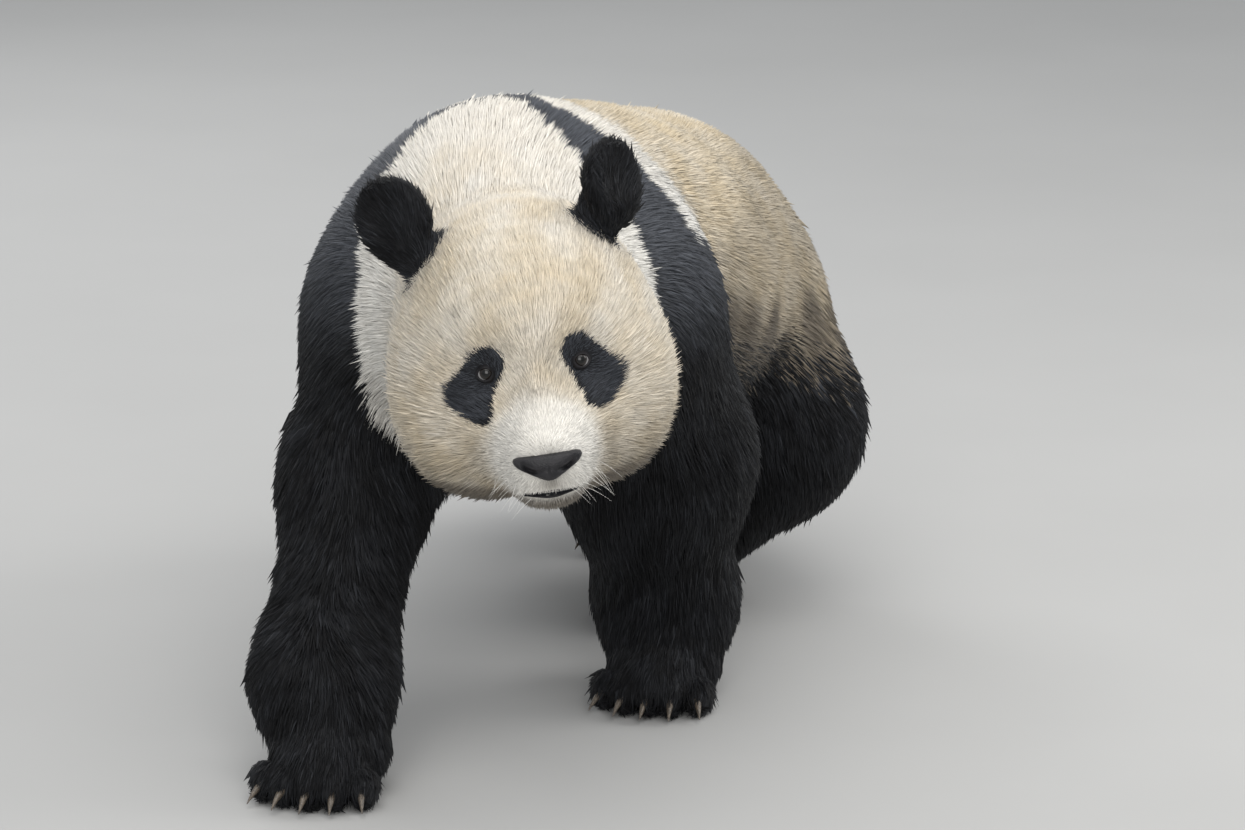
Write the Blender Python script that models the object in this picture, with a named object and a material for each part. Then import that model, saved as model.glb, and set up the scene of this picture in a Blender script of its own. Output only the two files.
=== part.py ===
"""Giant panda, life size, walking with its head low and turned to its left.

The animal faces -Y, its left side is +X and it stands on z = 0. The coat's outer surface is one smooth
field, a blend of ellipsoids and tapering rods, each placed from the named sizes below. The surface is
drawn out of the field as one mesh and parted by thin cuts into the head, neck, trunk, legs, paws, ears
and tail. Eyes, nose leather and claws are pieces of their own, each seated in a pocket cut to fit it.
"""

import math

import bpy
import numpy as np
from mathutils import Euler, Matrix, Vector

GAP = 0.0004  # between pieces that touch
CUT = 0.0006  # width of the cuts that part the body

# Body, in metres. y = 0 is under the withers, and MIDLINE is the trunk's middle.
MIDLINE = 0.030
SHOULDER_HALF_WIDTH = 0.193
BELLY_HALF_WIDTH = 0.224
HIP_HALF_WIDTH = 0.185
FORE_SPREAD = 0.135  # midline to a forefoot's middle
HIND_SPREAD = 0.068  # midline to a hind foot's middle: the hind feet swing in under the belly
FORE_LEFT_Y = 0.120
FORE_RIGHT_Y = -0.300
HIND_LEFT_Y = 0.440
HIND_RIGHT_Y = 0.760

FOREPAW = (0.064, 0.080)  # half-width and half-length
HINDPAW = (0.056, 0.088)
WRIST_HEIGHT = 0.072
PAWS = {
    "forepaw_left": (MIDLINE + FORE_SPREAD + 0.018, FORE_LEFT_Y - 0.010, FOREPAW),
    "forepaw_right": (MIDLINE - FORE_SPREAD + 0.020, FORE_RIGHT_Y - 0.010, FOREPAW),
    "hindpaw_left": (MIDLINE + HIND_SPREAD, HIND_LEFT_Y, HINDPAW),
    "hindpaw_right": (MIDLINE - HIND_SPREAD + 0.020, HIND_RIGHT_Y, HINDPAW),
}

# Head, in its own axes: it faces -Y, and its origin is midway between the ears and the jaw.
HEAD_AT = Vector((0.147, -0.322, 0.510))
HEAD_YAW = math.radians(20.0)
HEAD_PITCH = math.radians(6.0)
HEAD_ROLL = math.radians(-7.5)
SKULL = ((0.0, 0.030, 0.022), (0.118, 0.130, 0.126))  # middle and radii, as in the rows below
BROW = ((0.0, -0.040, 0.038), (0.090, 0.080, 0.084))
CHEEK = ((0.076, 0.000, -0.038), (0.078, 0.098, 0.092))
JAW = ((0.046, -0.042, -0.078), (0.060, 0.076, 0.055))
CHIN = ((0.0, -0.130, -0.101), (0.034, 0.038, 0.024))
EYE_HOLLOW = ((0.050, -0.138, 0.022), (0.026, 0.024, 0.024))
NOSE_HOLLOW = ((0.0, -0.196, -0.062), (0.040, 0.017, 0.024))
MUZZLE = ((0.0, -0.080, -0.045), (0.0, -0.138, -0.068), 0.063, 0.045)  # two ends and their radii
BRIDGE = ((0.0, -0.080, -0.004), (0.0, -0.150, -0.048), 0.036, 0.025)

EYE_AT = Vector((0.049, -0.0985, 0.021))
EYE_RADIUS = 0.0120
EYE_LOOK = Vector((0.30, -0.93, 0.15))
EYE_OPENING = (0.0105, 0.0080, 0.0090)  # radii of the opening between the lids: across, deep and high
OPENING_OFFSET = Vector((0.003, -0.0125, 0.001))  # from the eye to the middle of the opening
OPENING_LEAN = 12.0
NOSE_AT = Vector((0.0, -0.1765, -0.060))
NOSE_HALF_WIDTH = 0.0345
NOSE_FRONT = 0.0145  # from the pad's rim to its front
NOSE_WRAP = 5.0  # the pad curves back by this times x squared
NOSE_LEAN = math.radians(-14.0)
NOSE_EDGES = ((90.0, 0.42), (-50.0, 0.37), (-130.0, 0.37))  # which way each edge faces, and how far out it is

# Ears: the middle of each cup and how it is turned. The left one is turned out to the side.
EARS = {
    "right": (Vector((-0.120, 0.045, 0.150)), (-10.0, -22.0, -24.0)),
    "left": (Vector((0.111, 0.045, 0.157)), (-10.0, 20.0, 48.0)),
}
EAR_CUP_RADII = (0.044, 0.023, 0.048)
EAR_ROOT = Vector((0.019, -0.002, 0.038))  # from the root to the cup, with x outwards
EAR_ROOT_RADII = (0.032, 0.024, 0.034)
EAR_BOWL = Vector((0.0, -0.026, 0.002))  # from the cup to the bowl in its front, in the ear's own axes
EAR_BOWL_RADII = (0.029, 0.018, 0.033)

# The tail hangs against the rump.
TAIL_AT = Vector((MIDLINE, 0.786, 0.440))
TAIL_RADII = (0.036, 0.026, 0.068)
TAIL_LEAN = math.radians(16.0)

# Claws: five on a paw, each a curved cone that grows out of the coat.
CLAW_LENGTH = 0.034
CLAW_RADIUS = 0.0048
CLAW_HEIGHT = 0.022
CLAW_DROP = 0.016  # from its root to its tip
CLAW_AHEAD = 0.010  # from the toe's middle to the claw's root
CLAW_SIDES = 6

# The blocks that part the legs from the body: which side, where the top is, its half-width and half-depth,
# its length, and the way it runs down. Each top slopes up and out from the armpit or the groin.
BLOCK_SLOPE = 0.85
LEG_BLOCKS = {
    "foreleg_left": (1, (0.190, 0.080, 0.363), 0.180, 0.160, 0.56, (0.0, 0.05, -1.0)),
    "foreleg_right": (-1, (-0.105, -0.060, 0.370), 0.165, 0.175, 0.62, (0.0, -0.65, -1.0)),
    "hindleg_left": (1, (0.250, 0.556, 0.379), 0.260, 0.161, 0.65, (-0.25, -0.36, -1.0)),
    "hindleg_right": (-1, (-0.143, 0.640, 0.337), 0.200, 0.235, 0.54, (0.25, 0.52, -1.0)),
}
PAW_BLOCK = (0.13, 0.16, 0.20)  # half-width, half-depth and length

# The planes that part the head, neck and shoulders: a place on each and the way it faces.
HEAD_BACK = Vector((0.0, 0.085, 0.0))  # in the head's own axes, facing back
NECK_PLANE = ((0.05, -0.135, 0.50), (-0.25, 1.0, -0.45))
SHOULDER_PLANE = ((0.03, 0.040, 0.45), (0.0, 1.0, 0.0))
BODY_BLOCK = (0.40, 0.40, 0.4)
EAR_BASE = Vector((0.100, 0.046, 0.115))  # in the head's own axes, where each ear is parted from the head
EAR_BLOCK = (0.070, 0.070, 0.15)

# The surface is drawn on a fine grid, then thinned to this many triangles.
FINE_STEP = 0.008
COAT_TRIANGLES = 3900


def head_matrix():
    """From the head's own axes to the body's."""
    turn = Matrix.Rotation(HEAD_YAW, 4, "Z") @ Matrix.Rotation(HEAD_PITCH, 4, "X")
    return Matrix.Translation(HEAD_AT) @ turn @ Matrix.Rotation(HEAD_ROLL, 4, "Y")


HEAD = head_matrix()


def ellipsoid(points, centre, radii, turn=(0.0, 0.0, 0.0)):
    """Signed distance, near the surface, of points from an ellipsoid turned by degrees about X, Y and Z."""
    axes = np.array(Euler([math.radians(a) for a in turn]).to_matrix())
    local = (points - np.array(centre)) @ axes
    radii = np.array(radii)
    scaled = np.linalg.norm(local / radii, axis=1)
    slope = np.linalg.norm(local / radii**2, axis=1)
    return scaled * (scaled - 1.0) / np.maximum(slope, 1e-9)


def rod(points, start, end, start_radius, end_radius):
    """Signed distance of points from a rod with round ends that tapers from one radius to the other."""
    start, end = np.array(start, float), np.array(end, float)
    axis = end - start
    length2 = axis @ axis
    taper = start_radius - end_radius
    reach2 = length2 - taper * taper
    inverse = 1.0 / length2
    offset = points - start
    along = offset @ axis
    beyond = along - length2
    across = offset * length2 - along[:, None] * axis
    across2 = np.einsum("ij,ij->i", across, across)
    along2 = along * along * length2
    beyond2 = beyond * beyond * length2
    k = np.sign(taper) * taper * taper * across2
    past_end = np.sign(beyond) * reach2 * beyond2 > k
    before_start = np.sign(along) * reach2 * along2 < k
    middle = (np.sqrt(across2 * reach2 * inverse) + along * taper) * inverse - start_radius
    capped = np.where(
        before_start,
        np.sqrt(across2 + along2) * inverse - start_radius,
        middle,
    )
    return np.where(past_end, np.sqrt(across2 + beyond2) * inverse - end_radius, capped)


def blend(a, b, width):
    """Smooth union of two fields: within width of each other they flow together."""
    near = np.maximum(width - np.abs(a - b), 0.0) / width
    return np.minimum(a, b) - near * near * width * 0.25


def blend_all(fields, width):
    whole = fields[0]
    for field in fields[1:]:
        whole = blend(whole, field, width)
    return whole


def carve(field, cutter, width):
    """Smooth difference of a field and a cutter."""
    return -blend(-field, cutter, width)


def chain(points, joints, width):
    """A limb: rods joined end to end through (x, y, z, radius) joints."""
    rods = [rod(points, a[:3], b[:3], a[3], b[3]) for a, b in zip(joints, joints[1:])]
    return blend_all(rods, width)


def head_field(points):
    """The head without its ears, in the head's own axes."""
    solids = [ellipsoid(points, *SKULL), ellipsoid(points, *BROW)]
    for side in (-1, 1):
        mirrored = points * (side, 1, 1)
        solids += [ellipsoid(mirrored, *CHEEK), ellipsoid(mirrored, *JAW)]
    whole = blend_all(solids, 0.05)
    muzzle = blend_all([rod(points, *MUZZLE), rod(points, *BRIDGE), ellipsoid(points, *CHIN)], 0.03)
    whole = blend(whole, muzzle, 0.04)
    for side in (-1, 1):
        whole = carve(whole, ellipsoid(points * (side, 1, 1), *EYE_HOLLOW), 0.030)
    return carve(whole, ellipsoid(points, *NOSE_HOLLOW), 0.010)


def ear_field(points, name):
    """One ear, in the head's own axes: a round cup on a short root, with a bowl in its front."""
    at, turn = EARS[name]
    axes = Euler([math.radians(a) for a in turn]).to_matrix()
    outwards = math.copysign(1.0, at.x)
    root_at = at - Vector((outwards * EAR_ROOT.x, EAR_ROOT.y, EAR_ROOT.z))
    cup = ellipsoid(points, at, EAR_CUP_RADII, turn)
    root = ellipsoid(points, root_at, EAR_ROOT_RADII, turn)
    bowl = ellipsoid(points, at + axes @ EAR_BOWL, EAR_BOWL_RADII, turn)
    return carve(blend(cup, root, 0.02), bowl, 0.006)


def toes(x, y, size):
    """Where a paw's five toes end, each with its turn from the paw's middle line."""
    radius, reach = size
    for toe in range(-2, 3):
        yield x + toe * radius * 0.42, y - reach * (0.82 - 0.055 * toe * toe), math.radians(10.0 * toe)


def paw_field(points, x, y, size):
    """A paw, flat on the floor and facing -Y, with five toes round its front."""
    radius, reach = size
    solids = [
        ellipsoid(points, (x, y, 0.040), (radius, reach, 0.050)),
        ellipsoid(points, (x, y + reach * 0.45, 0.045), (radius * 0.85, reach * 0.6, 0.050)),
    ]
    for toe_x, toe_y, turn in toes(x, y, size):
        solids.append(ellipsoid(points, (toe_x, toe_y, 0.024), (0.019, 0.028, 0.026)))
    return blend_all(solids, 0.018)


def legs_field(points):
    left, right = MIDLINE + FORE_SPREAD, MIDLINE - FORE_SPREAD
    fore_left = chain(
        points,
        [
            (left - 0.015, 0.020, 0.460, 0.120),
            (left + 0.004, 0.110, 0.290, 0.107),
            (left + 0.010, FORE_LEFT_Y + 0.030, 0.110, 0.072),
            (left + 0.016, FORE_LEFT_Y, 0.060, 0.060),
        ],
        0.06,
    )
    fore_right = chain(
        points,
        [
            (right + 0.025, -0.030, 0.450, 0.112),
            (right - 0.006, -0.110, 0.300, 0.078),
            (right - 0.002, FORE_RIGHT_Y + 0.040, 0.110, 0.070),
            (right + 0.016, FORE_RIGHT_Y, 0.060, 0.060),
        ],
        0.06,
    )
    near, far = MIDLINE + HIND_SPREAD, MIDLINE - HIND_SPREAD
    hind_left = chain(
        points,
        [
            (MIDLINE + 0.098, 0.590, 0.325, 0.134),
            (MIDLINE + 0.150, 0.545, 0.222, 0.124),
            (near + 0.015, HIND_LEFT_Y + 0.085, 0.110, 0.066),
            (near, HIND_LEFT_Y + 0.050, 0.060, 0.056),
        ],
        0.06,
    )
    hind_right = chain(
        points,
        [
            (MIDLINE - 0.112, 0.610, 0.330, 0.140),
            (MIDLINE - 0.130, 0.600, 0.240, 0.110),
            (far + 0.008, HIND_RIGHT_Y + 0.060, 0.120, 0.062),
            (far + 0.020, HIND_RIGHT_Y + 0.040, 0.060, 0.056),
        ],
        0.06,
    )
    paws = blend_all([paw_field(points, *place) for place in PAWS.values()], 0.005)
    legs = blend_all([fore_left, fore_right, blend(hind_left, hind_right, 0.05)], 0.02)
    return blend(legs, paws, 0.02)


def trunk_field(points):
    solids = [
        ellipsoid(points, (MIDLINE, 0.030, 0.470), (SHOULDER_HALF_WIDTH, 0.210, 0.195)),
        ellipsoid(points, (MIDLINE - 0.008, 0.030, 0.580), (0.100, 0.170, 0.100)),
        ellipsoid(points, (MIDLINE, 0.240, 0.470), (0.197, 0.220, 0.190)),
        ellipsoid(points, (MIDLINE, 0.390, 0.412), (BELLY_HALF_WIDTH, 0.270, 0.188)),
        ellipsoid(points, (MIDLINE, 0.560, 0.395), (HIP_HALF_WIDTH, 0.230, 0.186)),
    ]
    return blend_all(solids, 0.10)


def neck_field(points):
    """From the back of the skull to the shoulders: thick, and as wide as the jaw."""
    back_of_head = HEAD @ Vector((0.0, 0.07, 0.010))
    return rod(points, back_of_head, (MIDLINE - 0.004, 0.0, 0.500), 0.122, 0.180)


def coat_field(points):
    """Signed distance of points from the coat's outer surface: negative inside."""
    inverse = np.array(HEAD.inverted())
    local = points @ inverse[:3, :3].T + inverse[:3, 3]
    whole = blend(trunk_field(points), legs_field(points), 0.07)
    whole = blend(whole, neck_field(points), 0.09)
    whole = blend(whole, head_field(local), 0.06)
    for name in EARS:
        whole = blend(whole, ear_field(local, name), 0.014)
    return np.maximum(whole, -points[:, 2])


def sampled(field, axes, step, block=8):
    """The field's value at each grid point. A block of points far from the surface takes its middle's."""
    grid = np.stack(np.meshgrid(*axes, indexing="ij"), -1)
    values = np.empty(grid.shape[:3])
    near = []
    corners = [range(0, count, block) for count in grid.shape[:3]]
    boxes = [
        tuple(slice(at, at + block) for at in (i, j, k))
        for i in corners[0]
        for j in corners[1]
        for k in corners[2]
    ]
    middles = np.array([grid[box].reshape(-1, 3).mean(0) for box in boxes])
    reach = block * step * 1.3
    for box, middle in zip(boxes, field(middles)):
        values[box] = middle
        if abs(middle) < reach:
            near.append(box)
    for start in range(0, len(near), 400):
        some = near[start : start + 400]
        found = field(np.concatenate([grid[box].reshape(-1, 3) for box in some]))
        sizes = [values[box].size for box in some]
        for box, part in zip(some, np.split(found, np.cumsum(sizes)[:-1])):
            values[box] = part.reshape(values[box].shape)
    return values


def clear_of_pinches(values, step):
    """Fills a grid corner wherever two inside corners face each other across a grid square, because two
    sheets of the surface would share an edge there."""
    found = True
    while found:
        found = False
        for axis in range(3):
            u, v = np.eye(3, dtype=int)[[(axis + 1) % 3, (axis + 2) % 3]]
            corners = [np.zeros(3, int), u, u + v, v]
            spans = np.array(values.shape) - u - v
            inside = [
                values[tuple(slice(c, c + n) for c, n in zip(corner, spans))] < 0 for corner in corners
            ]
            pinched = (inside[0] == inside[2]) & (inside[1] == inside[3]) & (inside[0] != inside[1])
            for place in np.argwhere(pinched):
                around = [tuple(place + corner) for corner in corners]
                outside = [at for at in around if values[at] >= 0]
                if len(outside) == 2:
                    values[min(outside, key=lambda at: values[at])] = -0.05 * step
                    found = True
    return values


def surface_net(field, low, high, step):
    """One vertex in each grid cell that the surface crosses, at the mean of the crossings on its edges, and
    one quad round each grid edge that it crosses."""
    low, high = np.array(low), np.array(high)
    counts = np.ceil((high - low) / step).astype(int) + 1
    axes = [low[i] + step * np.arange(counts[i]) for i in range(3)]
    values = clear_of_pinches(sampled(field, axes, step), step)
    cells = counts - 1
    total, crossings = np.zeros((*cells, 3)), np.zeros(cells)
    for axis in range(3):
        others = [i for i in range(3) if i != axis]
        for a in (0, 1):
            for b in (0, 1):
                start, span = [0, 0, 0], [0, 0, 0]
                start[others[0]], start[others[1]] = a, b
                near = tuple(slice(s, s + c) for s, c in zip(start, cells))
                span[axis] = 1
                far = tuple(slice(s + d, s + d + c) for s, d, c in zip(start, span, cells))
                one, two = values[near], values[far]
                crossed = (one < 0) != (two < 0)
                share = np.where(crossed, one / np.where(crossed, one - two, 1.0), 0.0)
                corner = np.array(start, float) * np.ones((*cells, 3))
                corner[..., axis] += share
                total += np.where(crossed[..., None], corner, 0.0)
                crossings += crossed
    active = crossings > 0
    index = np.full(cells, -1)
    index[active] = np.arange(active.sum())
    base = np.stack(np.nonzero(active), -1)
    points = low + step * (base + total[active] / crossings[active][:, None])
    quads = []
    for axis in range(3):
        u, v = (axis + 1) % 3, (axis + 2) % 3
        shape = [slice(1, c) for c in cells]
        shape[axis] = slice(0, cells[axis])
        one = values[tuple(shape)]
        shape[axis] = slice(1, cells[axis] + 1)
        two = values[tuple(shape)]
        crossed = (one < 0) != (two < 0)
        place = np.stack(np.nonzero(crossed), -1)
        place[:, u] += 1
        place[:, v] += 1
        corners = []
        for du, dv in ((-1, -1), (0, -1), (0, 0), (-1, 0)):
            cell = place.copy()
            cell[:, u] += du
            cell[:, v] += dv
            corners.append(index[tuple(cell.T)])
        quad = np.stack(corners, -1)
        outward = one[crossed] < 0
        quads.append(np.where(outward[:, None], quad, quad[:, ::-1]))
    return points, np.concatenate(quads)


def on_surface(field, points, rounds=3):
    """Moves points along the field's slope until they lie on its surface."""
    reach = 0.0005
    for _ in range(rounds):
        value = field(points)
        slope = np.stack(
            [field(points + reach * np.eye(3)[i]) - field(points - reach * np.eye(3)[i]) for i in range(3)],
            -1,
        ) / (2 * reach)
        size2 = np.maximum(np.einsum("ij,ij->i", slope, slope), 0.05)
        points = points - slope * np.clip(value / size2, -0.01, 0.01)[:, None]
    return points


def material(name, colour, roughness):
    """A Principled material."""
    made = bpy.data.materials.new(name)
    made.use_nodes = True
    shader = made.node_tree.nodes["Principled BSDF"]
    shader.inputs["Base Color"].default_value = (*colour, 1.0)
    shader.inputs["Roughness"].default_value = roughness
    shader.inputs["Metallic"].default_value = 0.0
    return made


def add_mesh(name, points, faces, finish=None):
    mesh = bpy.data.meshes.new(name)
    mesh.from_pydata([tuple(point) for point in points], [], [tuple(face) for face in faces])
    if finish:
        mesh.materials.append(finish)
    mesh.shade_smooth()
    mesh.update()
    obj = bpy.data.objects.new(name, mesh)
    bpy.context.scene.collection.objects.link(obj)
    return obj


def evaluated(obj):
    """The object's mesh with its modifiers, as a mesh of its own."""
    graph = bpy.context.evaluated_depsgraph_get()
    return bpy.data.meshes.new_from_object(obj.evaluated_get(graph))


def boolean(obj, other, operation):
    """Cuts one object by another, for good, and takes the other away."""
    modifier = obj.modifiers.new(operation.lower(), "BOOLEAN")
    modifier.operation = operation
    modifier.solver = "EXACT"
    modifier.object = other
    mesh = evaluated(obj)
    obj.modifiers.clear()
    obj.data = mesh


def remove(obj):
    bpy.data.objects.remove(obj)


def region(at, normal, half_width, half_depth, length, sink=None, grow=0.0):
    """A slanted block below a plane: its top is at a point and faces along a normal, and it runs down from
    there straight against the normal, or along sink where that is given."""
    up = Vector(normal).normalized()
    sink = Vector(sink).normalized() if sink else -up
    across = Vector((0.0, 1.0, 0.0)).cross(up)
    if across.length < 0.2:
        across = Vector((1.0, 0.0, 0.0))
    across.normalize()
    along = up.cross(across)
    corners = []
    for down in (length, 0.0):
        for y in (-half_depth - grow, half_depth + grow):
            for x in (-half_width - grow, half_width + grow):
                corners.append(Vector(at) + across * x + along * y + sink * down + up * grow)
    faces = [(0, 2, 3, 1), (4, 5, 7, 6), (0, 1, 5, 4), (2, 6, 7, 3), (0, 4, 6, 2), (1, 3, 7, 5)]
    return add_mesh("region", corners, faces)


def part_off(body, name, finish, place):
    """Takes the part of the body that lies in a region as a piece of its own, a thin cut apart from it."""
    piece = body.copy()
    piece.data = body.data.copy()
    piece.name = name
    bpy.context.scene.collection.objects.link(piece)
    inner = region(*place)
    outer = region(*place, grow=CUT)
    boolean(piece, inner, "INTERSECT")
    boolean(body, outer, "DIFFERENCE")
    remove(inner)
    remove(outer)
    piece.data.materials.clear()
    piece.data.materials.append(finish)
    return piece


def ball(rings, sides):
    """Unit directions of a globe with its poles on Z, and its faces."""
    points = [Vector((0.0, 0.0, 1.0))]
    for ring in range(1, rings):
        polar = math.pi * ring / rings
        for side in range(sides):
            turn = 2.0 * math.pi * side / sides
            flat = math.sin(polar)
            points.append(Vector((flat * math.cos(turn), flat * math.sin(turn), math.cos(polar))))
    points.append(Vector((0.0, 0.0, -1.0)))
    faces = []
    last = len(points) - 1
    for side in range(sides):
        beside = (side + 1) % sides
        faces.append((0, 1 + side, 1 + beside))
        faces.append((last, last - sides + beside, last - sides + side))
        for ring in range(rings - 2):
            here, below = 1 + ring * sides, 1 + (ring + 1) * sides
            faces.append((here + side, below + side, below + beside, here + beside))
    return points, faces


def eye(name, finish, side, radius):
    """An eyeball, its pole looking out of the socket."""
    points, faces = ball(8, 12)
    look = Vector((side * EYE_LOOK.x, EYE_LOOK.y, EYE_LOOK.z)).to_track_quat("Z", "Y")
    centre = Vector((side * EYE_AT.x, EYE_AT.y, EYE_AT.z))
    return add_mesh(name, [HEAD @ (centre + look @ (point * radius)) for point in points], faces, finish)


def eye_opening(side):
    """The opening between the lids: an oval that leans in at its top."""
    points, faces = ball(6, 12)
    width, depth, height = EYE_OPENING
    centre = EYE_AT + OPENING_OFFSET
    centre.x *= side
    lean = Matrix.Rotation(math.radians(side * OPENING_LEAN), 4, "Y")
    shaped = [lean @ Vector((p.x * width, p.y * depth, p.z * height)) for p in points]
    return add_mesh("opening", [HEAD @ (centre + point) for point in shaped], faces)


def nose_reach(turn):
    """How far the nose's outline is from its middle, in half-widths: a polygon of three edges, softened."""
    power = 6.0
    total = 0.0
    for facing, distance in NOSE_EDGES:
        total += (max(math.cos(turn - math.radians(facing)), 0.0) / distance) ** power
    return min(total ** (-1.0 / power), 1.0)


def nose(name, finish, grow=0.0):
    """The nose leather: a soft triangle, flat on top and pointed below, wrapped round the muzzle."""
    points, faces = ball(7, 14)
    lean = Matrix.Rotation(NOSE_LEAN, 4, "X")
    shaped = []
    for point in points:
        turn = math.atan2(point.y, point.x)
        across = nose_reach(turn) * NOSE_HALF_WIDTH * math.hypot(point.x, point.y) ** 0.85
        ahead = math.copysign(abs(point.z) ** 0.55, point.z) * (NOSE_FRONT + grow)
        x, z = (across + grow) * math.cos(turn), (across + grow) * math.sin(turn)
        shaped.append(lean @ Vector((x, NOSE_WRAP * x * x - ahead, z)))
    return add_mesh(name, [HEAD @ (NOSE_AT + point) for point in shaped], faces, finish)


def tail(name, finish, grow=0.0):
    """A short flat tail that hangs against the rump."""
    points, faces = ball(8, 12)
    width, depth, height = (radius + grow for radius in TAIL_RADII)
    lean = Matrix.Rotation(TAIL_LEAN, 4, "X")
    shaped = []
    for point in points:
        taper = 1.0 - 0.22 * point.z
        shaped.append(lean @ Vector((point.x * width * taper, point.y * depth, point.z * height)))
    return add_mesh(name, [TAIL_AT + point for point in shaped], faces, finish)


def claw(name, finish, x, y, turn, grow=0.0):
    """A claw from inside the toe: it runs forward and curves down to a point above the floor."""
    rings = 4
    points, faces = [], []
    aim = Matrix.Rotation(turn, 3, "Z")
    for ring in range(rings):
        share = ring / (rings - 1)
        radius = CLAW_RADIUS * (1.0 - share**1.6) + grow if ring < rings - 1 else 0.0
        middle = Vector((0.0, -CLAW_LENGTH * share, -CLAW_DROP * share * share))
        middle.y -= grow * (1.0 if ring == rings - 1 else -1.0 if ring == 0 else 0.0)
        if ring == rings - 1:
            points.append(middle)
            continue
        for side in range(CLAW_SIDES):
            angle = 2.0 * math.pi * side / CLAW_SIDES
            points.append(middle + Vector((0.8 * radius * math.cos(angle), 0.0, radius * math.sin(angle))))
    last = len(points) - 1
    faces.append(tuple(reversed(range(CLAW_SIDES))))
    for side in range(CLAW_SIDES):
        beside = (side + 1) % CLAW_SIDES
        for ring in range(rings - 2):
            here, there = ring * CLAW_SIDES, (ring + 1) * CLAW_SIDES
            faces.append((here + side, here + beside, there + beside, there + side))
        faces.append((last - CLAW_SIDES + side, last - CLAW_SIDES + beside, last))
    root = Vector((x, y - CLAW_AHEAD, CLAW_HEIGHT))
    return add_mesh(name, [root + aim @ point for point in points], faces, finish)


def seat(host, grown):
    """Cuts a pocket in a host, a little larger than the piece that sits in it."""
    boolean(host, grown, "DIFFERENCE")
    remove(grown)


def centre_on_floor():
    """Moves everything so that the origin is under the middle of the whole animal's box."""
    meshes = {obj.data for obj in bpy.context.scene.objects if obj.type == "MESH"}
    reach = [[vertex.co[axis] for mesh in meshes for vertex in mesh.vertices] for axis in (0, 1)]
    middle = [(min(values) + max(values)) / 2 for values in reach]
    for mesh in meshes:
        mesh.transform(Matrix.Translation((-middle[0], -middle[1], 0.0)))


def thinned(body, triangles):
    """Thins the mesh and sets its soles flat on the floor."""
    count = sum(len(polygon.vertices) - 2 for polygon in body.data.polygons)
    modifier = body.modifiers.new("thin", "DECIMATE")
    modifier.ratio = triangles / count
    mesh = evaluated(body)
    body.modifiers.clear()
    body.data = mesh
    for vertex in mesh.vertices:
        if vertex.co.z < 0.0015:
            vertex.co.z = 0.0


def main():
    for old in list(bpy.data.objects):
        bpy.data.objects.remove(old)
    white = material("white_fur", (0.72, 0.66, 0.53), 0.90)
    black = material("black_fur", (0.018, 0.018, 0.020), 0.85)
    leather = material("nose_leather", (0.030, 0.028, 0.030), 0.45)
    glossy = material("eye", (0.020, 0.012, 0.008), 0.10)
    horn = material("claw", (0.24, 0.20, 0.15), 0.40)

    points, faces = surface_net(coat_field, (-0.36, -0.72, -0.03), (0.36, 1.06, 0.78), FINE_STEP)
    trunk = add_mesh("trunk", on_surface(coat_field, points), faces, white)
    thinned(trunk, COAT_TRIANGLES)

    paws = {}
    for name, (side, top, half_width, half_depth, length, sink) in LEG_BLOCKS.items():
        up = (-side * BLOCK_SLOPE, 0.0, 1.0)
        leg = part_off(trunk, name, black, (top, up, half_width, half_depth, length, sink))
        paw = name.replace("leg", "paw")
        x, y, size = PAWS[paw]
        paws[paw] = part_off(leg, paw, black, ((x, y, WRIST_HEIGHT), (0.0, 0.0, 1.0), *PAW_BLOCK))

    turn = HEAD.to_3x3()
    head = part_off(trunk, "head", white, (HEAD @ HEAD_BACK, turn.col[1], 0.30, 0.30, 0.5))
    part_off(trunk, "neck", white, (*NECK_PLANE, *BODY_BLOCK))
    part_off(trunk, "shoulders", black, (*SHOULDER_PLANE, *BODY_BLOCK))

    for name, side in (("right", -1), ("left", 1)):
        root = HEAD @ Vector((side * EAR_BASE.x, EAR_BASE.y, EAR_BASE.z))
        inward = turn @ Vector((-side * 0.5, 0.0, -0.86))
        part_off(head, "ear_" + name, black, (root, inward, *EAR_BLOCK))
        seat(head, eye("socket", None, side, EYE_RADIUS + GAP))
        seat(head, eye_opening(side))
        eye("eye_" + name, glossy, side, EYE_RADIUS)
    seat(head, nose("pocket", None, GAP))
    nose("nose", leather)
    seat(trunk, tail("pocket", None, GAP))
    tail("tail", white)

    for paw, (x, y, size) in PAWS.items():
        for number, (toe_x, toe_y, turned) in enumerate(toes(x, y, size), 1):
            seat(paws[paw], claw("pocket", None, toe_x, toe_y, turned, GAP))
            claw(f"claw_{paw}_{number}", horn, toe_x, toe_y, turned)
    centre_on_floor()


main()
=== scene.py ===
"""Giant panda, life size: skin, coat, eyes, lids, nose, mouth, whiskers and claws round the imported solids.

The animal is described in its own body frame: it faces -Y, its left is +X and z = 0 is the floor. The
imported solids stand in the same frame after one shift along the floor, which the left eye gives.
"""

import logging
import math
from dataclasses import dataclass
from enum import Enum, IntEnum
from itertools import product
from typing import Callable, Iterator

import bmesh
import bpy
import numpy as np
from mathutils import Euler, Matrix, Vector


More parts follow.
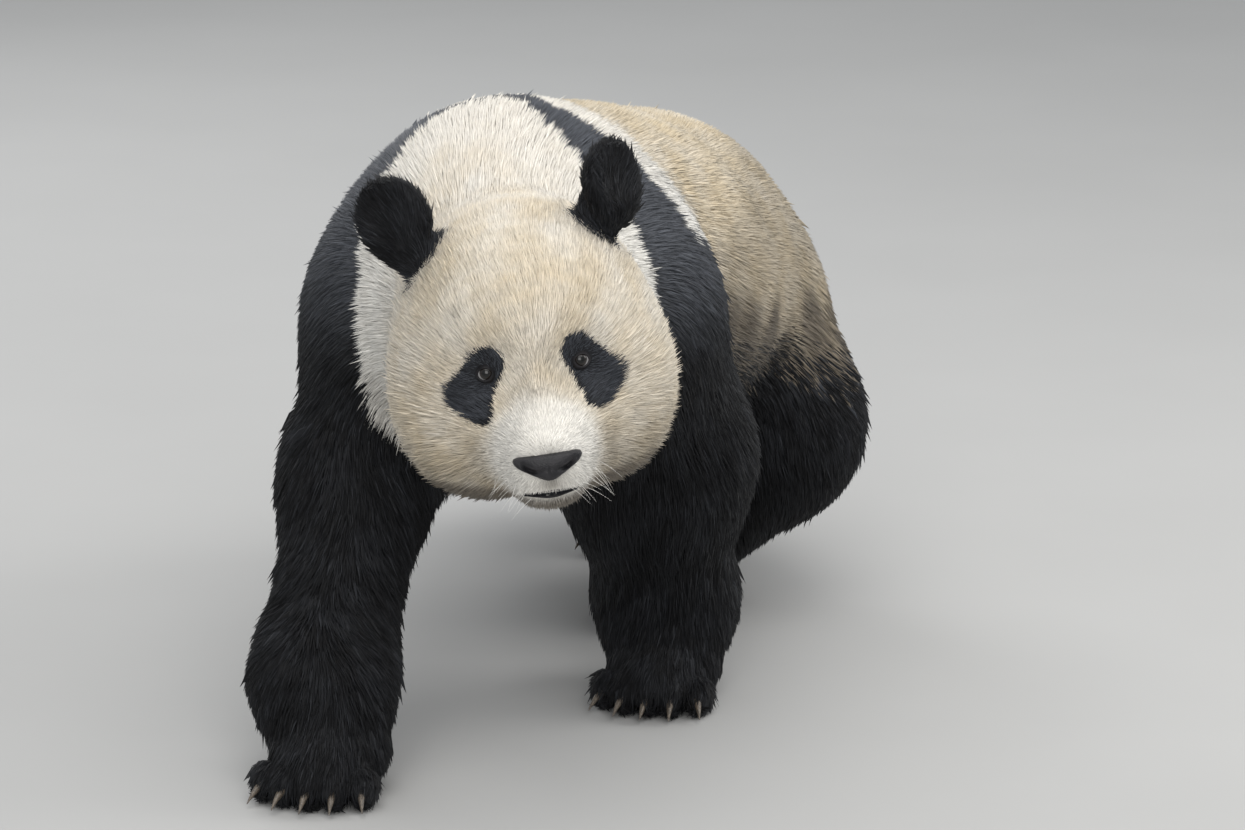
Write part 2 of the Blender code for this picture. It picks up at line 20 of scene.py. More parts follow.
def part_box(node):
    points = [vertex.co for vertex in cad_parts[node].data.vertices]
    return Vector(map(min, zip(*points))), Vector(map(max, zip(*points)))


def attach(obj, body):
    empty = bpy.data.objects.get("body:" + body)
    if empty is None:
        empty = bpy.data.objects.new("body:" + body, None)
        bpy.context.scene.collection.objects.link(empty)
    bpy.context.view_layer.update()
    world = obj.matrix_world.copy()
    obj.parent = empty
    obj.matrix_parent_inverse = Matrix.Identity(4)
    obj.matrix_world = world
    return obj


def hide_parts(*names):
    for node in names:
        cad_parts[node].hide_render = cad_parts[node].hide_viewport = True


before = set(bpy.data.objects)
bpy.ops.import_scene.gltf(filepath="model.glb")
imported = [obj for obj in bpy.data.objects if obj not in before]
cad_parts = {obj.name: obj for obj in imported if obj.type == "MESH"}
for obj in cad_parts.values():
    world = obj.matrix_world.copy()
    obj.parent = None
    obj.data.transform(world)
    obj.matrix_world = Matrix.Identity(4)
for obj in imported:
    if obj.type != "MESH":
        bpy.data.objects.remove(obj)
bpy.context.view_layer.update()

BODY = "root"
SEED = 11
BATCH = 400  # blocks of grid points whose field is worked out at once
FLOOR_GAP = 0.0006  # from the floor to the lowest points

Triple = tuple[float, float, float]
Joint = tuple[float, float, float, float]
Colour = tuple[float, float, float, float]
Faces = list[np.ndarray]
Field = Callable[[np.ndarray], np.ndarray]

log = logging.getLogger("panda")


# ---------------------------------------------------------------------------------------------------------
# Fields: signed distances of many points at once, negative inside


def ellipsoid(points: np.ndarray, centre: Triple, radii: Triple, turn: Triple = (0, 0, 0)) -> np.ndarray:
    """Distance from an ellipsoid: k (k - 1) / |slope|, where k is the length of the point over the radii.

    Args:
        points: places, one to a row.
        centre: middle of the ellipsoid.
        radii: its half-lengths.
        turn: degrees about X, Y and Z.

    Returns:
        One distance for each point, true near the surface.
    """
    axes = np.array(Euler([math.radians(a) for a in turn]).to_matrix())
    local = (points - np.array(centre)) @ axes
    size = np.array(radii)
    scaled = np.linalg.norm(local / size, axis=1)
    slope = np.linalg.norm(local / size**2, axis=1)
    return scaled * (scaled - 1.0) / np.maximum(slope, 1e-9)


def rod(
    points: np.ndarray, start: Triple, end: Triple, start_radius: float, end_radius: float
) -> np.ndarray:
    """Distance from a tapering rod with round ends: the two end balls and the cone that touches both.

    Args:
        points: places, one to a row.
        start: middle of the first end ball.
        end: middle of the second end ball.
        start_radius: radius of the first end ball.
        end_radius: radius of the second end ball.

    Returns:
        One distance for each point.
    """
    first, last = np.array(start, float), np.array(end, float)
    axis = last - first
    length2 = axis @ axis
    taper = start_radius - end_radius
    reach2 = length2 - taper * taper
    inverse = 1.0 / length2
    offset = points - first
    along = offset @ axis
    beyond = along - length2
    across = offset * length2 - along[:, None] * axis
    across2 = np.einsum("ij,ij->i", across, across)
    along2 = along * along * length2
    beyond2 = beyond * beyond * length2
    k = np.sign(taper) * taper * taper * across2
    past_end = np.sign(beyond) * reach2 * beyond2 > k
    before_start = np.sign(along) * reach2 * along2 < k
    middle = (np.sqrt(across2 * reach2 * inverse) + along * taper) * inverse - start_radius
    capped = np.where(before_start, np.sqrt(across2 + along2) * inverse - start_radius, middle)
    return np.where(past_end, np.sqrt(across2 + beyond2) * inverse - end_radius, capped)


def blend(a: np.ndarray, b: np.ndarray, width: float) -> np.ndarray:
    """Smooth union: the smaller distance, less (width - |a - b|)^2 / (4 width) where the two are near.

    Args:
        a: one field.
        b: the other field.
        width: how near they flow together.

    Returns:
        The united field.
    """
    near = np.maximum(width - np.abs(a - b), 0.0) / width
    return np.minimum(a, b) - near * near * width * 0.25


def blend_all(fields: list[np.ndarray], width: float) -> np.ndarray:
    """Smooth union of several fields, one after another."""
    whole = fields[0]
    for one in fields[1:]:
        whole = blend(whole, one, width)
    return whole


def carve(field_: np.ndarray, cutter: np.ndarray, width: float) -> np.ndarray:
    """Smooth difference of a field and a cutter."""
    return -blend(-field_, cutter, width)


def chain(points: np.ndarray, joints: tuple[Joint, ...], width: float) -> np.ndarray:
    """A limb: tapering rods joined end to end through its joints."""
    rods = [rod(points, a[:3], b[:3], a[3], b[3]) for a, b in zip(joints, joints[1:])]
    return blend_all(rods, width)


def smooth(value: np.ndarray, low: float, high: float) -> np.ndarray:
    """Rises from 0 at low to 1 at high as 3 t^2 - 2 t^3; high may be the smaller."""
    t = np.clip((value - low) / (high - low), 0.0, 1.0)
    return t * t * (3.0 - 2.0 * t)


def bell(value: np.ndarray, width: float) -> np.ndarray:
    """exp(-(value / width)^2): 1 at 0, and near 0 past twice the width."""
    return np.exp(-((value / width) ** 2))


def unit(vectors: np.ndarray) -> np.ndarray:
    """Each row made one long."""
    return vectors / np.maximum(np.linalg.norm(vectors, axis=1, keepdims=True), 1e-9)


def laid(ways: np.ndarray, normals: np.ndarray) -> np.ndarray:
    """Each direction turned until it is square to its normal, and made one long."""
    return unit(ways - normals * np.einsum("ij,ij->i", ways, normals)[:, None])


class Pattern(IntEnum):
    """The seed of each uneven pattern."""

    SWIRL = SEED  # and the next two
    RISE = SEED + 3
    WHISKERS = SEED + 7
    BORDER_BROAD = SEED + 20
    BORDER_FINE = SEED + 21
    HAUNCH_EDGE = SEED + 22
    HAUNCH_HAIRS = SEED + 23
    WARM_BROAD = SEED + 30
    WARM_FINE = SEED + 31
    FLANK_SOIL = SEED + 40
    SPECKS = SEED + 41
    CLUMPS = SEED + 50  # and the next two
    PALE_TONE = SEED + 60
    BLACK_TONE = SEED + 61


def ripple(points: np.ndarray, wavelength: float, seed: int) -> np.ndarray:
    """A soft uneven pattern from -1 to 1: the mean of seven sine waves that run in random directions.

    Args:
        points: places, one to a row.
        wavelength: the middle wavelength, in metres.
        seed: picks the directions.

    Returns:
        One value for each point.
    """
    waves = np.random.default_rng(seed)
    runs = unit(waves.normal(size=(7, 3))) * waves.uniform(0.6, 1.6, (7, 1)) * 2.0 * math.pi / wavelength
    return np.clip(np.sin(points @ runs.T + waves.uniform(0, 2 * math.pi, 7)).sum(1) / 3.2, -1.0, 1.0)


# ---------------------------------------------------------------------------------------------------------
# The body and its coat


class Side(Enum):
    """Which of a pair, by the sign of its x."""

    RIGHT = -1
    LEFT = 1


class Part(IntEnum):
    """The parts of the body, each with a field, a coat and a lie of its own."""

    TRUNK, NECK, HEAD, EAR_RIGHT, EAR_LEFT, TAIL = range(6)
    FORELEG_LEFT, FORELEG_RIGHT, HINDLEG_LEFT, HINDLEG_RIGHT = range(6, 10)
    FOREPAW_LEFT, FOREPAW_RIGHT, HINDPAW_LEFT, HINDPAW_RIGHT = range(10, 14)


@dataclass(frozen=True)
class Coat:
    """The hair of one part: how thick it lies, how long it is, and how closely it grows."""

    depth: float
    length: float
    per_area: float  # tufts in a square metre


LEG_COAT = Coat(0.012, 0.033, 130000.0)
PAW_COAT = Coat(0.007, 0.019, 150000.0)
COATS = {
    "TRUNK": Coat(0.011, 0.033, 150000.0),
    "NECK": Coat(0.009, 0.027, 210000.0),
    "HEAD": Coat(0.010, 0.024, 470000.0),
    "EAR": Coat(0.0060, 0.017, 360000.0),
    "TAIL": Coat(0.010, 0.030, 140000.0),
    "FORELEG": LEG_COAT,
    "HINDLEG": LEG_COAT,
    "FOREPAW": PAW_COAT,
    "HINDPAW": PAW_COAT,
}


def coat_values(name: str) -> np.ndarray:
    """One field of every part's coat, in the order of the parts; a part's coat goes by its first word."""
    return np.array([getattr(COATS[part.name.split("_")[0]], name) for part in Part])


@dataclass(frozen=True)
class HeadFrame:
    """The head's own axes: it faces -Y, and its origin is midway between the ears and the jaw."""

    at: Triple = (0.147, -0.322, 0.510)
    yaw: float = 20.0
    pitch: float = 6.0
    roll: float = -7.5

    def matrix(self) -> Matrix:
        """From the head's axes to the body's."""
        angles = (self.yaw, self.pitch, self.roll)
        yaw, pitch, roll = (Matrix.Rotation(math.radians(a), 4, axis) for a, axis in zip(angles, "ZXY"))
        return Matrix.Translation(self.at) @ (yaw @ pitch) @ roll

    def to_body(self, local: np.ndarray) -> np.ndarray:
        """Places in the head's axes, in the body's."""
        matrix = np.array(self.matrix())
        return local @ matrix[:3, :3].T + matrix[:3, 3]

    def place(self, at: Triple) -> Triple:
        """One place in the head's axes, in the body's."""
        return tuple(self.to_body(np.array([at]))[0])

    def to_local(self, points: np.ndarray) -> np.ndarray:
        """Places in the body's axes, in the head's."""
        matrix = np.array(self.matrix().inverted())
        return points @ matrix[:3, :3].T + matrix[:3, 3]

    def turned(self, directions: np.ndarray) -> np.ndarray:
        """Directions in the head's axes, in the body's."""
        return directions @ np.array(self.matrix())[:3, :3].T


HEAD = HeadFrame()
BACK_OF_HEAD = (0.0, 0.07, 0.010)  # where the neck begins, in the head's axes


@dataclass(frozen=True)
class Build:
    """The body's driving sizes, the same as the solids have."""

    midline: float = 0.030
    shoulder_half_width: float = 0.193
    belly_half_width: float = 0.224
    hip_half_width: float = 0.185
    fore_spread: float = 0.135
    hind_spread: float = 0.068
    fore_left_y: float = 0.120
    fore_right_y: float = -0.300
    hind_left_y: float = 0.440
    hind_right_y: float = 0.760
    forepaw: tuple[float, float] = (0.064, 0.080)
    hindpaw: tuple[float, float] = (0.056, 0.088)
    tail_at: Triple = (0.030, 0.786, 0.440)
    tail_radii: Triple = (0.036, 0.026, 0.068)

    def paws(self) -> dict[Part, tuple[float, float, tuple[float, float]]]:
        """Where each paw stands, and its half-width and half-length."""
        mid, fore, hind = self.midline, self.fore_spread, self.hind_spread
        return {
            Part.FOREPAW_LEFT: (mid + fore + 0.018, self.fore_left_y - 0.010, self.forepaw),
            Part.FOREPAW_RIGHT: (mid - fore + 0.020, self.fore_right_y - 0.010, self.forepaw),
            Part.HINDPAW_LEFT: (mid + hind, self.hind_left_y, self.hindpaw),
            Part.HINDPAW_RIGHT: (mid - hind + 0.020, self.hind_right_y, self.hindpaw),
        }

    def legs(self) -> dict[Part, tuple[Joint, ...]]:
        """The joints of each leg from the shoulder or hip down: x, y, z and radius."""
        mid = self.midline
        left, right = mid + self.fore_spread, mid - self.fore_spread
        near, far = mid + self.hind_spread, mid - self.hind_spread
        return {
            Part.FORELEG_LEFT: (
                (left - 0.015, 0.020, 0.460, 0.120),
                (left + 0.004, 0.110, 0.290, 0.107),
                (left + 0.010, self.fore_left_y + 0.030, 0.110, 0.072),
                (left + 0.016, self.fore_left_y, 0.060, 0.060),
            ),
            Part.FORELEG_RIGHT: (
                (right + 0.025, -0.030, 0.450, 0.112),
                (right - 0.006, -0.110, 0.300, 0.078),
                (right - 0.002, self.fore_right_y + 0.040, 0.110, 0.070),
                (right + 0.016, self.fore_right_y, 0.060, 0.060),
            ),
            Part.HINDLEG_LEFT: (
                (mid + 0.098, 0.590, 0.325, 0.134),
                (mid + 0.150, 0.545, 0.222, 0.124),
                (near + 0.015, self.hind_left_y + 0.085, 0.110, 0.066),
                (near, self.hind_left_y + 0.050, 0.060, 0.056),
            ),
            Part.HINDLEG_RIGHT: (
                (mid - 0.112, 0.610, 0.330, 0.140),
                (mid - 0.130, 0.600, 0.240, 0.110),
                (far + 0.008, self.hind_right_y + 0.060, 0.120, 0.062),
                (far + 0.020, self.hind_right_y + 0.040, 0.060, 0.056),
            ),
        }


def toes(x: float, y: float, size: tuple[float, float]) -> Iterator[Triple]:
    """Where a paw's five toes end, each with its turn in radians from the paw's middle line."""
    radius, reach = size
    for toe in range(-2, 3):
        yield x + toe * radius * 0.42, y - reach * (0.82 - 0.055 * toe * toe), math.radians(10.0 * toe)


@dataclass(frozen=True)
class Face:
    """Places on the head, in its own axes; pairs are given for the left side."""

    eye: Triple = (0.049, -0.0985, 0.021)
    eye_look: Triple = (0.30, -0.93, 0.15)
    nose: Triple = (0.0, -0.1765, -0.060)
    mouth_height: float = -0.0925
    mouth_droop: float = 4.5  # the mouth's line falls by this times x squared
    mouth_half_width: float = 0.028
    ears = {
        Side.RIGHT: ((-0.120, 0.045, 0.150), (-10.0, -22.0, -24.0)),
        Side.LEFT: ((0.111, 0.045, 0.157), (-10.0, 20.0, 48.0)),
    }
    nose_half_width: float = 0.0375
    # Which way each edge of the nose faces, in degrees, and how far out it is in half-widths.
    nose_edges = ((90.0, 0.31), (-62.0, 0.44), (-118.0, 0.44), (0.0, 1.0), (180.0, 1.0))
    nose_power: float = 6.0  # a larger one gives sharper corners
    # No hair grows nearer than this to an eye's middle, the nose's outline, the mouth's line or the floor.
    bare_by_eye: float = 0.0084
    bare_by_nose: float = -0.0008
    bare_by_mouth: float = 0.0022
    bare_by_floor: float = 0.004

    def mirrored(self, place: Triple, side: Side) -> np.ndarray:
        """A place on either side of the head."""
        return np.array(place) * (side.value, 1.0, 1.0)

    def from_nose(self, local: np.ndarray) -> np.ndarray:
        """How far each point is from the nose's middle."""
        return np.linalg.norm(local - np.array(self.nose), axis=1)

    def eye_distance(self, local: np.ndarray) -> np.ndarray:
        """How far each point is from the nearer eye's middle, seen along the head's Y."""
        across = np.abs(local[:, 0]) - self.eye[0] - 0.0033
        away = np.hypot(across, local[:, 2] - self.eye[2] - 0.0015)
        return np.where(local[:, 1] < -0.05, away, 1.0)

    def nose_reach(self, turn: np.ndarray) -> np.ndarray:
        """How far the nose's outline is from its middle each way round: a soft polygon.

        The reach is one over the power mean of how near each direction comes to the five edges.

        Args:
            turn: directions in radians, from the left side upwards.

        Returns:
            One reach for each direction.
        """
        total = np.zeros_like(turn)
        for facing_, distance in self.nose_edges:
            total += (np.maximum(np.cos(turn - math.radians(facing_)), 0.0) / distance) ** self.nose_power
        return self.nose_half_width * total ** (-1.0 / self.nose_power)

    def nose_distance(self, local: np.ndarray) -> np.ndarray:
        """How far outside the nose's outline each point is, seen along the head's Y."""
        x, z = local[:, 0], local[:, 2] - self.nose[2]
        away = np.hypot(x, z) - self.nose_reach(np.arctan2(z, x))
        return np.where(local[:, 1] < -0.13, away, 1.0)

    def mouth_distance(self, local: np.ndarray) -> np.ndarray:
        """How far each point is above or below the mouth's line, and past its corners."""
        fall = local[:, 2] - (self.mouth_height - self.mouth_droop * local[:, 0] ** 2)
        past = np.maximum(np.abs(local[:, 0]) - self.mouth_half_width, 0.0)
        return np.where(local[:, 1] < -0.05, np.hypot(fall, past), 1.0)


FACE = Face()
SIZES = Build()


class Animal:
    """The whole body as one field, with the depth, length and lie of the coat at each place."""

    def head(self, local: np.ndarray) -> np.ndarray:
        """The head without its ears: skull, brow, cheeks, a tapering muzzle and hollows by the eyes."""
        solids = [
            ellipsoid(local, (0.0, 0.030, 0.022), (0.118, 0.130, 0.126)),
            ellipsoid(local, (0.0, -0.040, 0.038), (0.090, 0.080, 0.084)),
        ]
        for side in (-1, 1):
            solids.append(ellipsoid(local, (side * 0.076, 0.000, -0.038), (0.078, 0.098, 0.092)))
            solids.append(ellipsoid(local, (side * 0.046, -0.042, -0.078), (0.060, 0.076, 0.055)))
        whole = blend_all(solids, 0.05)
        muzzle = [
            rod(local, (0.0, -0.080, -0.045), (0.0, -0.138, -0.068), 0.063, 0.045),
            rod(local, (0.0, -0.080, -0.004), (0.0, -0.150, -0.048), 0.036, 0.025),
            ellipsoid(local, (0.0, -0.130, -0.101), (0.034, 0.038, 0.024)),
        ]
        whole = blend(whole, blend_all(muzzle, 0.03), 0.04)
        for side in (-1, 1):
            hollow = ellipsoid(local, (side * 0.050, -0.138, 0.022), (0.026, 0.024, 0.024))
            whole = carve(whole, hollow, 0.030)
        return carve(whole, ellipsoid(local, (0.0, -0.196, -0.062), (0.040, 0.017, 0.024)), 0.010)

    def ear(self, local: np.ndarray, side: Side) -> np.ndarray:
        """One ear: a round cup on a short root, with a bowl scooped out of its front."""
        at, turn = np.array(FACE.ears[side][0]), FACE.ears[side][1]
        axes = np.array(Euler([math.radians(a) for a in turn]).to_matrix())
        cup = ellipsoid(local, at, (0.044, 0.023, 0.048), turn)
        root_at = at - FACE.mirrored((0.019, -0.002, 0.038), side)
        root = ellipsoid(local, root_at, (0.032, 0.024, 0.034), turn)
        bowl = ellipsoid(local, at + axes @ (0.0, -0.026, 0.002), (0.029, 0.018, 0.033), turn)
        return carve(blend(cup, root, 0.02), bowl, 0.006)

    def paw(self, points: np.ndarray, x: float, y: float, size: tuple[float, float]) -> np.ndarray:
        """A paw flat on the floor: a low mound, its heel and five toes round its front."""
        radius, reach = size
        solids = [
            ellipsoid(points, (x, y, 0.040), (radius, reach, 0.050)),
            ellipsoid(points, (x, y + reach * 0.45, 0.045), (radius * 0.85, reach * 0.6, 0.050)),
        ]
        for toe_x, toe_y, _ in toes(x, y, size):
            solids.append(ellipsoid(points, (toe_x, toe_y, 0.024), (0.019, 0.028, 0.026)))
        return blend_all(solids, 0.018)

    def trunk(self, points: np.ndarray) -> np.ndarray:
        """Shoulders, withers, chest, belly and hips."""
        mid = SIZES.midline
        solids = [
            ellipsoid(points, (mid, 0.030, 0.470), (SIZES.shoulder_half_width, 0.210, 0.195)),
            ellipsoid(points, (mid - 0.008, 0.030, 0.580), (0.100, 0.170, 0.100)),
            ellipsoid(points, (mid, 0.240, 0.470), (0.197, 0.220, 0.190)),
            ellipsoid(points, (mid, 0.390, 0.412), (SIZES.belly_half_width, 0.270, 0.188)),
            ellipsoid(points, (mid, 0.560, 0.395), (SIZES.hip_half_width, 0.230, 0.186)),
        ]
        return blend_all(solids, 0.10)

    def parts(self, points: np.ndarray) -> np.ndarray:
        """The field of every part.

        Args:
            points: places in the body's axes.

        Returns:
            One row for each part, one column for each point.
        """
        local = HEAD.to_local(points)
        rows = {
            Part.TRUNK: self.trunk(points),
            Part.HEAD: self.head(local),
            Part.EAR_RIGHT: self.ear(local, Side.RIGHT),
            Part.EAR_LEFT: self.ear(local, Side.LEFT),
            Part.TAIL: ellipsoid(points, SIZES.tail_at, SIZES.tail_radii, (16.0, 0.0, 0.0)),
        }
        back_of_head = HEAD.place(BACK_OF_HEAD)
        rows[Part.NECK] = rod(points, back_of_head, (SIZES.midline - 0.004, 0.0, 0.500), 0.122, 0.180)
        for part, joints in SIZES.legs().items():
            rows[part] = chain(points, joints, 0.06)
        for part, place in SIZES.paws().items():
            rows[part] = self.paw(points, *place)
        return np.stack([rows[part] for part in Part])

    def united(self, rows: np.ndarray) -> np.ndarray:
        """The coat's outer surface: the parts flow together, each joint by its own width."""
        hind = blend(rows[Part.HINDLEG_LEFT], rows[Part.HINDLEG_RIGHT], 0.05)
        legs = blend_all([rows[Part.FORELEG_LEFT], rows[Part.FORELEG_RIGHT], hind], 0.02)
        paws = blend_all([rows[part] for part in SIZES.paws()], 0.005)
        whole = blend(rows[Part.TRUNK], blend(legs, paws, 0.02), 0.07)
        whole = blend(whole, rows[Part.NECK], 0.09)
        whole = blend(whole, rows[Part.HEAD], 0.06)
        for ear in (Part.EAR_RIGHT, Part.EAR_LEFT):
            whole = blend(whole, rows[ear], 0.014)
        return blend(whole, rows[Part.TAIL], 0.008)

    def surface(self, points: np.ndarray) -> np.ndarray:
        """Distance from the coat's outer surface, cut level at the floor."""
        return np.maximum(self.united(self.parts(points)), -points[:, 2])

    def shares(self, rows: np.ndarray) -> np.ndarray:
        """How much each place belongs to each part: exp(-distance / reach), made to sum to 1.

        The ears' reach is short, so that each keeps a coat of its own; the rest flow together.
        """
        ears = [Part.EAR_RIGHT, Part.EAR_LEFT]
        near = np.exp(-(rows - rows.min(0)) / 0.008)
        on_ears = near[ears] / near.sum(0)
        others = np.delete(rows, ears, axis=0)
        share = np.exp(-(rows - others.min(0)) / 0.026)
        share[ears] = 0.0
        share *= (1.0 - on_ears.sum(0)) / share.sum(0)
        share[ears] = on_ears
        return share

    def depth(self, points: np.ndarray, share: np.ndarray) -> np.ndarray:
        """How far the skin lies under the coat's surface: least on the muzzle, most on the cheeks."""
        depths = coat_values("depth")[:, None] * np.ones(len(points))
        local = HEAD.to_local(points)
        from_nose = FACE.from_nose(local)
        cheek = smooth(np.abs(local[:, 0]), 0.045, 0.10) * smooth(local[:, 2], 0.07, -0.02)
        on_face = 0.0036 + 0.0026 * smooth(from_nose, 0.03, 0.14)
        on_face += 0.0060 * cheek * smooth(from_nose, 0.06, 0.15)
        on_face += 0.003 * smooth(local[:, 1], 0.0, 0.08)
        chin = smooth(local[:, 2], -0.098, -0.116) * smooth(local[:, 1], -0.085, -0.115)
        on_face += 0.0055 * chin
        near_eye = smooth(FACE.eye_distance(local), 0.050, 0.016)
        on_face = on_face * (1.0 - near_eye) + 0.0032 * near_eye
        near_nose = smooth(FACE.nose_distance(local), 0.016, 0.003)
        depths[Part.HEAD] = on_face * (1.0 - near_nose) + 0.0030 * near_nose
        return (depths * share).sum(0)

    def length(self, points: np.ndarray, share: np.ndarray) -> np.ndarray:
        """How long the hair is."""
        lengths = coat_values("length")[:, None] * np.ones(len(points))
        local = HEAD.to_local(points)
        from_nose = FACE.from_nose(local)
        cheek = smooth(np.abs(local[:, 0]), 0.045, 0.10) * smooth(local[:, 2], 0.07, -0.03)
        on_face = 0.0070 + 0.0080 * smooth(from_nose, 0.035, 0.16)
        on_face += 0.013 * cheek * smooth(from_nose, 0.07, 0.15)
        on_face += 0.008 * smooth(local[:, 1], 0.02, 0.11)
        by_eye = 0.0032 + 0.40 * np.maximum(FACE.eye_distance(local) - 0.009, 0.0)
        by_mouth = 0.0022 + 0.50 * FACE.mouth_distance(local)
        lengths[Part.HEAD] = np.min([on_face, by_eye, by_mouth], axis=0)
        return (lengths * share).sum(0)

    def lie(self, points: np.ndarray, share: np.ndarray) -> np.ndarray:
        """Which way the hair points before it is laid along the skin.

        On the head it runs away from the nose and parts round each eye, on the ears from root to rim, on
        the neck and trunk back and a little down, on the legs down and on the paws towards the toes.

        Args:
            points: places in the body's axes.
            share: what belongs to which part.

        Returns:
            One direction for each point, one long.
        """
        local = HEAD.to_local(points)
        count = len(points)
        ways = np.zeros((len(Part), count, 3))
        down = -0.42 * smooth(np.abs(points[:, 0] - SIZES.midline), 0.02, 0.16)
        rump = smooth(points[:, 1], 0.60, 0.80)
        ways[Part.TRUNK] = np.stack([np.zeros(count), 1.0 - 0.6 * rump, down - 1.2 * rump], -1)
        ways[Part.NECK] = np.stack([np.full(count, -0.30), np.ones(count), down - 0.1], -1)
        radial = unit(local - np.array(FACE.nose) - np.array([0.0, 0.012, 0.006]))
        for side in Side:
            from_eye = local - FACE.mirrored((0.0523, -0.108, 0.0225), side)
            away = np.linalg.norm(from_eye, axis=1, keepdims=True)
            radial += 1.6 * bell(away, 0.022) * from_eye / np.maximum(away, 1e-6)
        radial[:, 2] -= 0.35 * smooth(np.abs(local[:, 0]), 0.05, 0.12) * smooth(local[:, 2], 0.02, -0.06)
        ways[Part.HEAD] = HEAD.turned(unit(radial))
        for part, side in ((Part.EAR_RIGHT, -1), (Part.EAR_LEFT, 1)):
            ways[part] = HEAD.turned(unit(local - np.array([side * 0.095, 0.050, 0.098])))
        ways[Part.TAIL] = np.array([0.0, 0.15, -1.0])
        for part in SIZES.legs():
            ways[part] = np.array([0.0, 0.18, -1.0])
        for part, (x, y, _) in SIZES.paws().items():
            fan = points - np.array([x, y + 0.10, 0.12])
            ways[part] = unit(fan * np.array([0.8, 1.0, 1.0]))
        swirl = np.stack([ripple(points, 0.16, Pattern.SWIRL + axis) for axis in range(3)], -1)
        return unit(unit(np.einsum("pn,pnk->nk", share, ways)) + 0.16 * swirl)

    def bare(self, points: np.ndarray) -> np.ndarray:
        """True where no hair grows: between the lids, on the nose leather, along the lips and underfoot."""
        local = HEAD.to_local(points)
        eye = FACE.eye_distance(local) < FACE.bare_by_eye
        leather = FACE.nose_distance(local) < FACE.bare_by_nose
        lips = FACE.mouth_distance(local) < FACE.bare_by_mouth
        return eye | leather | lips | (points[:, 2] < FACE.bare_by_floor)


